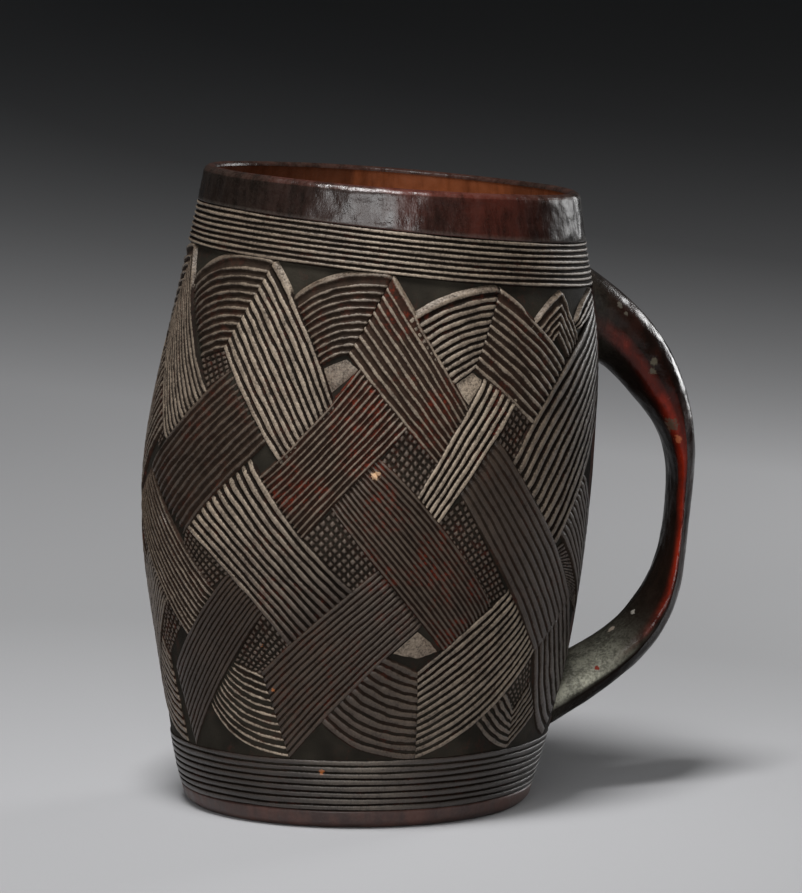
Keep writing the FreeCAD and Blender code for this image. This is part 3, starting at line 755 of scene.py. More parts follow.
FRONT_RISING: tuple[Strap, ...] = (
    Strap(((-116.5, 0.95), (-102, 0.985), (-87, 0.998)), ((-103.5, 0.8), (-97, 0.825)),
          11, Cut.THIN, (0.4, 0.5), (0.1, 0.1), Joint.ARC),
    Strap(((-80, 0.94), (-66, 0.988), (-46.5, 0.998)), ((-67.5, 0.79), (-63, 0.806), (-59, 0.815)),
          12, Cut.THIN, (0.25, 0.6), (0.15, 0.15), Joint.ARC),
    Strap(((-37.5, 0.937), (-26, 0.984), (-11.5, 0.998)), ((-28.5, 0.811), (-25, 0.829), (-22, 0.835)),
          11, Cut.THIN, (0.5, 0.5), (0.3, 0.2), Joint.ARC),
    Strap(((-5, 0.921), (6, 0.968), (19.5, 0.992)), ((6.5, 0.793), (11.5, 0.825)),
          11, Cut.BROAD, (0.8, 0.5), (0.35, 0.2), Joint.ARC),
    Strap(((32, 0.928), (38, 0.965), (44, 0.988)), ((38, 0.885), (40, 0.9)),
          5, Cut.NARROW, (0.5, 0.5), (0.1, 0.1), Joint.SMALL_ARC),
    Strap(((50.5, 0.93), (58, 0.97), (68, 0.995)), ((52, 0.912), (69, 0.965)),
          3, Cut.BROAD, (0.5, 0.3), (0.1, 0.1), Joint.EDGE),
    Strap(((-86, 0.56), (-57, 0.769)), ((-64.5, 0.447), (-40.5, 0.645)),
          12, Cut.NARROW, (0.06, 0.2), (0.2, 0.45)),
    Strap(((-41.5, 0.575), (-30.5, 0.672), (-19, 0.804)), ((-28.5, 0.463), (-5, 0.694)),
          13, Cut.NARROW, (0.35, 0.55), (1, 1)),
    Strap(((-0.5, 0.562), (14, 0.798)), ((5.5, 0.505), (25, 0.754)),
          6, Cut.BROAD, (1.2, 1.3), (0.6, 0.6)),
    Strap(((25.5, 0.642), (46.5, 0.858), (80, 0.995)), ((45, 0.445), (80, 0.81)),
          11, Cut.BROAD, (0.55, 0), (0.1, 0.05)),
    Strap(((-77, 0.153), (-50, 0.371)), ((-71, 0), (-40.5, 0.295)),
          12, Cut.WORN, (0, 0.03), (0.1, 0.1)),
    Strap(((-41.4, 0.176), (-10, 0.399)), ((-34, 0), (-15.4, 0.153), (1.5, 0.283)),
          14, Cut.WORN, (0.05, 0.12), (0.35, 0.5), Joint.FOOT),
    Strap(((1.75, 0.19), (26.5, 0.352)), ((3.6, 0), (22.2, 0.072), (40.5, 0.212)),
          13, Cut.BROAD, (0.5, 0.8), (0.1, 0.1), Joint.FOOT),
    Strap(((35.5, 0.085), (41, 0.14)), ((36.2, 0), (47, 0.065)),
          6, Cut.BROAD, (0.35, 0.3), (0.1, 0.1), Joint.FOOT),
)
FRONT_KNOTS: tuple[tuple[Side, Side], ...] = (
    (((-67.5, 0.786), (-59, 0.809)), ((-63, 0.738), (-56, 0.773))),
    (((-5, 0.693), (4, 0.625)), ((-10, 0.627), (-0.5, 0.562))),
    (((25, 0.752), (31, 0.709)), ((20.5, 0.676), (25.5, 0.642))),
    (((-21, 0.521), (-10, 0.405)), ((-28, 0.462), (-15.5, 0.359))),
    (((11.5, 0.552), (26.5, 0.354)), ((5.5, 0.506), (21.5, 0.334))),
    (((-64.5, 0.449), (-50, 0.375)), ((-66, 0.42), (-56, 0.343))),
    (((-40, 0.294), (-33, 0.238)), ((-49.5, 0.196), (-42, 0.175))),
    (((31.5, 0.118), (40, 0.195)), ((35.5, 0.09), (40.8, 0.145))),
    (((49, 0.445), (72, 0.27)), ((46, 0.435), (60, 0.31))),
)
BACK_FALLING: tuple[Strap, ...] = (
    Strap(((0, 0.995), (0.31, 0.885), (0.61, 0.75)), ((-0.32, 0.825), (0.27, 0.645)),
          11, Cut.BROAD, (0.6, 0.5), (0.2, 0.2), Joint.LEG),
    Strap(((0.09, 0.605), (0.47, 0.455), (0.87, 0.365)), ((-0.39, 0.48), (0.44, 0.25)),
          13, Cut.FINE, (0.45, 0.3), (0.3, 0.3)),
    Strap(((0.06, 0.21), (0.16, 0.175)), ((-0.36, 0.082), (0, 0.022), (0.31, 0)),
          11, Cut.WORN, (0.4, 0.45), (0.2, 0.2), Joint.FAN),
)
BACK_RISING: tuple[Strap, ...] = (
    Strap(((-0.83, 0.95), (-0.42, 0.985), (0, 0.998)), ((-0.48, 0.8), (-0.32, 0.825)),
          11, Cut.THIN, (0.6, 0.6), (0.2, 0.2), Joint.ARC),
    Strap(((-0.89, 0.59), (-0.25, 0.787)), ((-0.5, 0.46), (0.18, 0.645)),
          12, Cut.NARROW, (0.4, 0.5), (0.3, 0.3)),
    Strap(((-0.83, 0.17), (-0.03, 0.385)), ((-0.61, 0), (0.26, 0.29)),
          13, Cut.WORN, (0.4, 0.45), (0.2, 0.2), Joint.FOOT),
)
BACK_KNOTS: tuple[tuple[Side, Side], ...] = (
    (((-0.48, 0.8), (-0.32, 0.825)), ((-0.38, 0.75), (-0.25, 0.79))),
    (((0.18, 0.64), (0.26, 0.638)), ((0.1, 0.61), (0.13, 0.6))),
    (((-0.41, 0.475), (-0.05, 0.39)), ((-0.48, 0.46), (-0.12, 0.372))),
    (((0.26, 0.29), (0.44, 0.25)), ((0.06, 0.215), (0.17, 0.18))),
)
BACK_COLUMNS: Side = ((120.5, 38.5), (159.0, 38.7), (198.0, 39.0), (237.0, 37.0), (273.0, 36.5))


def moved(side: Side, column: tuple[float, float]) -> Side:
    """A side from the table of a back column, with its angles in degrees."""
    peak, pitch = column
    return tuple((peak + angle * pitch, share) for angle, share in side)


def along_side(side: Side, part: np.ndarray) -> np.ndarray:
    """Points along a side of two or three points.

    Args:
        side: The side.
        part: Places from 0 to 1.

    Returns:
        An array with the angle and the share last.
    """
    points = np.asarray(side, float)
    if len(points) == 2:
        weights = np.stack([1 - part, part])
    else:
        weights = np.stack([(1 - part) * (1 - 2 * part), 4 * part * (1 - part), part * (2 * part - 1)])
    return np.tensordot(weights, points, axes=(0, 0))


def between(sides: tuple[Side, Side], along: np.ndarray, across: np.ndarray) -> np.ndarray:
    """Angles and shares at places along two sides and, for each of them, across from one to the other."""
    upper, lower = (along_side(side, along)[:, None, :] for side in sides)
    return upper * (1 - across[..., None]) + lower * across[..., None]


@dataclass(frozen=True)
class Facet:
    """A sloping facet in a sunk place between straps, pale with dust and, as it faces up, partly with painted
    light.

    The corners are left, top, right and bottom, each an angle, a share of the field's height and a
    depth in millimetres.
    """

    corners: tuple[Colour, ...]
    dust_and_painted_light: float
    count: int = 9
    roughness: float = 0.00006
    sunk_edge: float = 0.0003

    def grid(self, form: CupForm, seed: int) -> Grid:
        """The mesh grid of the facet.

        Args:
            form: The body.
            seed: Seed of its tool marks.

        Returns:
            Points and their values.
        """
        left, top, right, bottom = np.asarray(self.corners)
        steps = np.linspace(0, 1, self.count)
        across, down = (item[..., None] for item in np.meshgrid(steps, steps))
        upper = (1 - across) * left + across * top
        lower = (1 - across) * bottom + across * right
        place = (1 - down) * upper + down * lower
        inset = place[..., 2] * MM + Waver(seed).lines(self.count, steps, 3.0) * self.roughness
        inset = inset + np.pad(np.zeros((self.count - 2, self.count - 2)), 1, constant_values=self.sunk_edge)
        return form.in_field(place, inset), {"crest": 0.8, "dust_and_painted_light": self.dust_and_painted_light, "red": 0.3, "painted_groove_light": 0.5}


FACETS: tuple[Facet, ...] = (
    Facet(((6.2, 0.790, 0.65), (11.5, 0.822, 0.95), (14.7, 0.797, 0.55), (10.8, 0.750, 0.30)), 1.0),
    Facet(((-28.2, 0.803, 0.70), (-22.0, 0.831, 0.95), (-18.8, 0.806, 0.65), (-25.0, 0.757, 0.45)), 0.45),
    Facet(((-5.0, 0.229, 0.45), (1.3, 0.275, 0.35), (8.7, 0.228, 0.90), (1.7, 0.215, 0.80)), 0.7),
)


@dataclass
class Strapwork:
    """The straps of the weave, the small hatched pads between them and the pale facets."""

    form: CupForm
    overlap: float = 0.00032
    reach: float = 0.0026
    dip_start: float = 0.0012
    dip: float = 0.00085
    skirt: float = 0.0005
    pit_fade: float = 0.08
    sway: float = 0.085
    worn: float = 0.00006
    wear_depth: float = 0.00005
    chip_depth: float = 0.00007
    strap_seeds: tuple[int, int] = (100, 300)
    pad_seed: int = 500
    facet_seed: int = 700
    stations: int = 32
    panel: tuple[float, float] = (75.0, 105.0)
    shortest: int = 25
    panel_gap: float = 0.5
    peg_pitch: float = 0.0017
    peg_top: float = 0.00036
    peg_foot: float = 0.0010
    peg_roughness: float = 0.00008
    pad_overlap: float = 0.0006

    def clear_range(self, strap: Strap) -> tuple[float, float] | None:
        """The part of a strap that stays off the plain panel.

        Args:
            strap: The strap.

        Returns:
            Where the part starts and ends, from 0 to 1, or None if next to nothing is left.
        """
        part = np.linspace(0, 1, 201)
        upper, lower = (along_side(side, part)[:, 0] for side in (strap.upper, strap.lower))
        middle, reach = (upper + lower) / 2, np.abs(upper - lower) / 2
        clear = part[(middle + reach < self.panel[0]) | (middle - reach > self.panel[1])]
        return (float(clear[0]), float(clear[-1])) if len(clear) >= self.shortest else None

    def rows_across(self, strap: Strap, raised: np.ndarray) -> list[np.ndarray]:
        """The mesh lines across a strap.

        Args:
            strap: The strap.
            raised: How far its upper border is a crest beside a sunk triangle, at each station.

        Returns:
            For each station and line its place in ridges, its depth as a share of the groove's and
            its crest value.
        """
        share, _, bowl, _ = strap.cut.value
        half = (1 - share) / 2
        profile = ridge_profile(strap.ridges, share, bowl, 0.05, 0.22)
        rows = [np.tile(row, (len(raised), 1)) for row in profile]
        border = ([0.0, 0.15 * share, 0.5 * share, share, share + half * 0.8, share + half * 1.4],
                  [0.14, 0.03, 0.0, 0.05, bowl, 1.0], [0.85, 0.95, 1.0, 0.92, 0.2, 0.0])
        for row, target in zip(rows, border):
            row[:, :6] += (np.array(target) - row[:, :6]) * raised[:, None]
        return rows

    def carve(self, strap: Strap, seed: int) -> Grid | None:
        """The mesh grid of a strap.

        Args:
            strap: The strap.
            seed: Seed of its irregularity.

        Returns:
            Points and their values, or None where the panel takes the strap's place.
        """
        clear = self.clear_range(strap)
        if clear is None:
            return None
        waver = Waver(seed)
        sides = (strap.upper, strap.lower)
        upper, lower = (self.form.in_field(along_side(side, np.linspace(*clear, 9)), 0.0) for side in sides)
        width = float(np.linalg.norm(upper - lower, axis=1).mean())
        length = float(np.linalg.norm(np.diff((upper + lower) / 2, axis=0), axis=1).sum())
        *mitres, pit, pit_reach = strap.joint.value
        before, after = (0.0 if mitred else self.reach / length for mitred in mitres)
        steps = np.linspace(-before, 1 + after, self.stations)
        raised = np.clip((pit_reach + self.pit_fade / 2 - steps) / self.pit_fade, 0, 1) * (pit > 0)
        place, depth, crest = self.rows_across(strap, raised)
        ridge = np.minimum(place[0].astype(int), strap.ridges - 1)
        line = np.round(place[0]).astype(int)
        steady = np.clip(8 * (steps + 2 * before), 0, 1) * np.clip(8 * (1 + 2 * after - steps), 0, 1)
        sway = waver.lines(strap.ridges + 1, steps, 2.5)[:, line] * self.sway * steady[:, None]
        sway[:, [0, -1]] = 0.0
        spread = self.overlap / width
        across = (1 + 2 * spread) * (place + sway) / strap.ridges - spread
        field_place = between(sides, clear[0] + (clear[1] - clear[0]) * steps, across)
        wear = waver.lines(strap.ridges, steps, 3.0)[:, ridge]
        chip = waver.lines(strap.ridges, steps, 9.0)[:, ridge]
        _, line_depth, _, painted_groove_light = strap.cut.value
        line_depth = line_depth * (0.9 + 0.16 * waver.lines(strap.ridges + 1, steps, 2.0)[:, line])
        worn = self.worn + self.wear_depth * wear + self.chip_depth * np.maximum(chip, 0.0)
        inset = line_depth * depth + worn
        outside = np.full_like(steps, -1.0)
        for covered, beyond in ((before, -steps), (after, steps - 1)):
            if covered:
                outside = np.maximum(outside, beyond * length)
        sunk = np.clip((outside + self.dip_start) / (self.dip_start + self.reach), 0, 1)
        sunk = (sunk * sunk * (3 - 2 * sunk))[:, None]
        ramp = np.clip(steps, 0, 1)[:, None]
        dust_and_painted_light, red = (ends[0] + (ends[1] - ends[0]) * ramp for ends in (strap.dust_and_painted_light, strap.red))
        # Painted shade: the crests darken where the strap dips under its neighbour.
        values = {"crest": crest * (1 - 0.3 * sunk) * (0.92 + 0.08 * wear),
                  "dust_and_painted_light": np.clip(dust_and_painted_light * (0.88 + 0.2 * wear), 0.0, 1.2), "red": red, "painted_groove_light": painted_groove_light}
        return self.skirted(field_place, inset + self.dip * sunk, values, pit * MM / width * raised)

    def skirted(self, place: np.ndarray, inset: np.ndarray, values: dict[str, np.ndarray | float],
                slope: np.ndarray) -> Grid:
        """Adds a border round a grid that goes down into the wall.

        Args:
            place: Angle and share of each point.
            inset: Depth of each point.
            values: Values of the points by name.
            slope: How far the slope into a sunk triangle reaches over the upper side at each
                station, as a part of the width.

        Returns:
            The larger grid, with its first axis down the strap, and its values.
        """
        place = pad_edges(place)
        slope = np.pad(slope, 1, mode="edge")[:, None]
        place[:, 0] += (place[:, 1] - place[:, -2]) * slope
        points = self.form.in_field(place, np.pad(inset, 1, constant_values=self.form.ground + self.skirt))
        values = {key: pad_edges(np.broadcast_to(item, inset.shape)) for key, item in values.items()}
        crest = values["crest"]
        crest[0], crest[-1], crest[:, -1] = 0.0, 0.0, 0.0
        # The slope into a sunk triangle faces up and takes the pale crest colour, partly as painted light.
        crest[:, 0] = 0.75 * (slope[:, 0] > 0)
        return points.transpose(1, 0, 2), {key: item.T for key, item in values.items()}

    def hatch(self, sides: tuple[Side, Side], seed: int) -> Grid | None:
        """The mesh grid of one hatched pad with its pegs.

        Args:
            sides: The pad's upper and lower side.
            seed: Seed of its irregularity.

        Returns:
            Points and their values, or None where the panel takes its place.
        """
        ends = np.stack([along_side(side, np.array([0.0, 1.0])) for side in sides])
        first, last = self.panel[0] + self.panel_gap, self.panel[1] - self.panel_gap
        if ends[..., 0].max() > first and ends[..., 0].min() < last:
            return None
        corners = self.form.in_field(ends, 0.0)
        sizes = [float(np.linalg.norm(np.diff(corners, axis=axis), axis=-1).max()) for axis in (1, 0)]
        counts = [max(2, round(size / self.peg_pitch)) for size in sizes]
        profile, crest = np.array([0.0, 0.29, 0.54, 0.79]), [0.0, 0.72, 1.0, 0.72]
        along, across = (np.append((np.arange(count)[:, None] + profile).ravel(), count) / count
                         for count in counts)
        tops = [np.append(np.tile(crest, count), 0.0) for count in counts]
        top = np.minimum(tops[0][:, None], tops[1][None, :])
        waver = Waver(seed)
        sway = waver.lines(len(across), along, 4.0) * 0.02
        rough = self.peg_roughness * waver.lines(len(across), along, 6.0)
        over = [self.pad_overlap / size for size in sizes]
        across = (1 + 2 * over[1]) * np.clip(across[None, :] + sway, 0.0, 1.0) - over[1]
        place = between(sides, (1 + 2 * over[0]) * along - over[0], across)
        inset = self.peg_top + (self.peg_foot - self.peg_top) * (1 - top) + rough
        values = {"crest": top, "dust_and_painted_light": 0.26, "red": 0.25, "painted_groove_light": 0.45}
        return self.skirted(place, inset, values, np.zeros(len(along)))

    def build(self) -> None:
        """Makes the straps, the pads and the facets."""
        wood = CarvedWood("carved_strap").build()
        for node, straps, table, skipped, seed in (
                ("falling_straps", list(FRONT_FALLING), BACK_FALLING, 2, self.strap_seeds[0]),
                ("rising_straps", list(FRONT_RISING), BACK_RISING, 1, self.strap_seeds[1])):
            for column in BACK_COLUMNS:
                shown = table[skipped:] if column is BACK_COLUMNS[-1] else table
                straps += [replace(strap, upper=moved(strap.upper, column), lower=moved(strap.lower, column))
                           for strap in shown]
            grids = [self.carve(strap, seed + number) for number, strap in enumerate(straps)]
            make_piece(f"carved_{node}", [grid for grid in grids if grid], wood, node)
        pads = list(FRONT_KNOTS)
        for column in BACK_COLUMNS:
            pads += [(moved(upper, column), moved(lower, column)) for upper, lower in BACK_KNOTS]
        grids = [self.hatch(sides, self.pad_seed + number) for number, sides in enumerate(pads)]
        pad_wood = CarvedWood("hatched_pad", crest=(0.05, 0.034, 0.025), dusty=(0.20, 0.16, 0.12))
        make_piece("hatched_knots", [grid for grid in grids if grid], pad_wood.build(), "knots")
        grids = [facet.grid(self.form, self.facet_seed + number) for number, facet in enumerate(FACETS)]
        make_piece("pale_facets", grids, wood, "barrel_wall")


@dataclass
class LinedBand:
    """A band of carved lines round the body."""

    form: CupForm
    node: str
    zone: Zone
    crest_share: float
    depth: float
    dust_and_painted_light: float
    painted_highlight: float
    seed: int
    ridges: int = 8
    columns: int = 300
    sway: float = 0.10
    worn: float = 0.00005
    wear_depth: float = 0.00004
    sunk_edge: float = 0.0022

    def build(self, finish: bpy.types.Material) -> None:
        """Makes the band.

        Args:
            finish: Its material.
        """
        waver = Waver(self.seed)
        turn = np.arange(self.columns) / self.columns
        angle = turn[:, None] * 360.0 - 180.0
        place, depth, crest = ridge_profile(self.ridges, self.crest_share, 0.52, 0.06, 0.3)
        line = np.round(place).astype(int)
        ridge = np.minimum(place.astype(int), self.ridges - 1)
        sway = waver.lines(self.ridges + 1, turn, 7.0, True)[:, line] * self.sway
        sway[:, [0, -1]] = 0.0
        wear = waver.lines(self.ridges, turn, 9.0, True)[:, ridge]
        inset = self.depth * depth * (0.9 + 0.1 * wear) + self.worn + self.wear_depth * wear
        height = self.form.height_in(self.zone, angle, (place + sway) / self.ridges)
        borders = ((0, 0), (1, 1))
        grid = self.form.point(angle, np.pad(height, borders, mode="edge"),
                               np.pad(inset, borders, constant_values=self.sunk_edge))
        # Painted highlight: the crests are made paler round the front angle, where the light falls on them.
        lit = self.dust_and_painted_light + self.painted_highlight * bell(angle, FRONT_ANGLE, 15.0)
        values = {"crest": np.pad(crest * (0.94 + 0.06 * wear), borders).T[::-1],
                  "dust_and_painted_light": np.pad(lit * (0.85 + 0.3 * wear), borders, mode="edge").T[::-1],
                  "red": 0.12, "painted_groove_light": 0.08}
        make_piece(f"carved_{self.node}", [(grid.transpose(1, 0, 2)[::-1], values)], finish, self.node, True)


@dataclass
class Shell:
    """The smooth zones of the body: ground of the strapwork, lip, inside, foot and plain strip."""

    form: CupForm
    columns: int = 240
    wall: float = 0.0062
    lip_wall: float = 0.0036
    lip_round: float = 0.0015
    floor: float = 0.012
    floor_rise: float = 0.0045
    margin: float = 0.0001
    lip_drop: float = 0.00012
    seam: float = 0.0012
    ground_roughness: float = 0.00006
    lip_dents: float = 0.00009
    inside_dents: float = 0.00012
    panel_roughness: float = 0.00006
    panel_skirt: float = 0.0004
    seeds: tuple[int, int, int, int] = (41, 42, 43, 44)
    panel: tuple[float, float] = (75.3, 104.7)
    wall_shares: Side = ((0.64, 1.0), (0.76, 0.88), (0.88, 0.40), (1.0, 0.0))
    ground_depths: Side = ((0.0, 0.00045), (0.10, 0.00055), (0.25, 0.00092), (0.8, 0.00092), (0.92, 0.00115))
    foot_rows: Side = (
        (0.0052, 0.0016), (0.005, 0.0003), (0.0045, 0.0001), (0.0035, 0.0001), (0.0025, 0.0001),
        (0.0018, 0.00018), (0.0012, 0.0005), (0.0006, 0.0010), (0.0001, 0.0016), (0.0, 0.0022))

    def __post_init__(self) -> None:
        """Lays the mesh columns, in degrees and as parts of a turn."""
        self.angle = np.arange(self.columns) / self.columns * 360.0 - 180.0
        self.turn = (self.angle + 180.0) / 360.0

    def stack(self, rows: list[tuple]) -> np.ndarray:
        """Points of rings given by height and inset.

        Args:
            rows: Height and inset of each ring, and anything else after them.

        Returns:
            A grid of points.
        """
        return np.stack([self.form.point(self.angle, np.broadcast_to(height, self.angle.shape), inset)
                         for height, inset, *_ in rows])

    def build_ground(self) -> None:
        """Makes the sunk ground between the straps, less deep between crossings than in the triangles."""
        shares = np.linspace(1.03, -0.03, 90)
        rough = Waver(self.seeds[0]).lines(len(shares), self.turn, 24.0, True).T
        depths = np.interp(shares, *zip(*self.ground_depths))
        rows = [(self.form.height_in(Zone.FIELD, self.angle, share), depth + self.ground_roughness * dents)
                for share, depth, dents in zip(shares, depths, rough)]
        finish = CarvedWood("cut_ground", groove=(0.014, 0.012, 0.009), crest=(0.032, 0.028, 0.021),
                            dusty=(0.10, 0.085, 0.065))
        values = {"crest": 0.25 + 0.12 * rough, "dust_and_painted_light": 0.25, "red": 0.1, "painted_groove_light": 0.0}
        make_piece("cut_ground", [(self.stack(rows), values)], finish.build(), "barrel_wall", True)

    def build_rim(self, inner_finish: bpy.types.Material) -> None:
        """Makes the plain lip, outside and over its rounded edge, and its inner side.

        Args:
            inner_finish: The material of the inner side.
        """
        waver = Waver(self.seeds[1])
        low, lip = (self.form.level(name, self.angle) for name in ("band_high", "lip"))
        lip = lip - self.lip_drop - 0.00010 * waver.lines(2, self.turn, 6.0, True)[:, 0]
        dents = waver.lines(14, self.turn, 11.0, True).T
        rows = [(low - 0.0003, self.seam, 0.1, 0.5), (low, 0.0002, 0.1, 0.5)]
        for part, dent in zip(np.linspace(0.04, 1.0, 12), dents):
            rows.append((low + (lip - self.lip_round - low) * part, 0.00004 + self.lip_dents * (1 + dent),
                         0.05 if part > 0.1 else 0.2, 0.12))
        half = self.lip_wall / 2
        for part in np.linspace(0.12, 1.88, 13):
            swing = part * math.pi / 2
            across = half - (half - self.lip_drop) * math.cos(swing)
            rows.append((lip - self.lip_round * (1 - math.sin(swing)), across + self.margin,
                         0.1, 1.0 if part > 0.8 else 0.5))
        rows.reverse()
        dust_and_painted_light, red = (np.array([row[number] for row in rows])[:, None] for number in (2, 3))
        glow = 1.0 + 5.5 * bell(self.angle, 24.0, 19.0) + 3.0 * bell(self.angle, -7.0, 6.0)
        # Painted highlight and shade: the lip keeps its shine, and so its lighter colour, round the front
        # angle, and turns dull and darker round the sides and back.
        values = {"dust_and_painted_light": dust_and_painted_light, "red": np.clip(red * glow, 0.0, 1.0),
                  "shine_and_painted_shade": 0.25 + 0.75 * bell(self.angle, FRONT_ANGLE, 42.0, 4)}
        finish = PolishedWood("polished_lip", dark=(0.0024, 0.0019, 0.0014), light=(0.0065, 0.0035, 0.0024),
                              bare=(0.07, 0.008, 0.003), roughness=(0.17, 0.34), bump_depth=0.0011, wax=0.0)
        make_piece("lip", [(self.stack(rows), values)], finish.build(), "rim", True)
        rows = [(lip - self.lip_round - (lip - low) * part, self.lip_wall - 0.0002 * (1 - part))
                for part in np.linspace(-0.05, 1.25, 9)][::-1]
        # Painted light: from -60 to 60 degrees the inner side is made redder and shinier, and so lighter, as
        # if lit.
        lit = np.clip((self.angle + 60.0) / 120.0, 0.0, 1.0)
        fade = np.linspace(1.0, 0.0, len(rows))[:, None] ** 1.5
        values = {"dust_and_painted_light": 0.05, "red": (0.15 + 0.3 * lit) * (1 - fade) + 0.9 * fade,
                  "shine_and_painted_shade": (0.1 + 0.25 * lit) * (1 - fade) + 0.5 * fade}
        make_piece("lip_inside", [(self.stack(rows), values)], inner_finish, "rim", True)

    def build_inside(self, finish: bpy.types.Material) -> None:
        """Makes the hollow inside down to its dished floor.

        Args:
            finish: Its material.
        """
        top = self.form.level("band_high", self.angle) + self.seam
        foot = np.full_like(self.angle, self.floor + self.floor_rise + self.seam)
        dents = Waver(self.seeds[2]).lines(46, self.turn, 9.0, True).T
        rows = []
        for part, dent in zip(np.linspace(1.0, 0.0, 44), dents):
            height = foot + (top - foot) * part
            share = np.interp(height / self.form.height, *zip(*self.wall_shares))
            wall = self.lip_wall + (self.wall - self.lip_wall) * share
            rows.append((height, wall - self.margin + self.inside_dents * dent * (part < 0.97)))
        grid = list(self.stack(rows))
        last = grid[-1]
        centre = last.mean(axis=0)
        for part in (0.97, 0.92, 0.8, 0.62, 0.42, 0.2, 0.02):
            ring = centre + (last - centre) * part
            ring[:, 2] = self.floor + self.floor_rise * part ** 2.2
            grid.append(ring)
        grid = np.stack(grid)[:, ::-1]
        red = np.interp(np.arange(len(grid)), [0, 12, len(grid)], [1.0, 0.5, 0.2])[:, None]
        make_piece("hollow", [(grid, {"dust_and_painted_light": 0.06, "red": red, "shine_and_painted_shade": 0.5})], finish, "barrel_wall", True)

    def build_foot(self) -> None:
        """Makes the plain margin round the foot and its flat face."""
        grid = self.stack(self.foot_rows)
        inner = [grid[-1] * np.array([part, part, 1.0]) for part in (0.9, 0.6, 0.25, 0.02)]
        grid = np.concatenate([grid, np.stack(inner)])
        finish = PolishedWood("foot_wood", dark=(0.016, 0.009, 0.008), light=(0.040, 0.023, 0.018),
                              roughness=(0.35, 0.6))
        make_piece("foot", [(grid, {"dust_and_painted_light": 0.12, "red": 0.25, "shine_and_painted_shade": 0.8})], finish.build(), "base", True)

    def build_panel(self) -> None:
        """Makes the plain upright strip behind the handle."""
        angle, share = np.meshgrid(np.linspace(*self.panel, 22), np.linspace(0.999, 0.001, 60))
        rough = Waver(self.seeds[3]).lines(angle.shape[1], share[:, 0], 8.0)
        inset = np.pad(self.margin + self.panel_roughness * (1 + rough), 1,
                       constant_values=self.form.ground + self.panel_skirt)
        grid = self.form.in_field(pad_edges(np.stack([angle, share], axis=-1)), inset)
        finish = PolishedWood("panel_wood", roughness=(0.35, 0.55)).build()
        make_piece("plain_panel", [(grid, {"dust_and_painted_light": 0.15, "red": 0.2, "shine_and_painted_shade": 0.8})], finish, "handle_panel")

    def build(self) -> None:
        """Makes all smooth zones."""
        self.build_ground()
        hollow_wood = PolishedWood("hollow_wood", dark=(0.06, 0.017, 0.007), light=(0.18, 0.052, 0.019),
                                   bare=(0.60, 0.150, 0.038), grain=(1.0, 1.0, 0.12)).build()
        self.build_rim(hollow_wood)
        self.build_inside(hollow_wood)
        self.build_foot()
        self.build_panel()


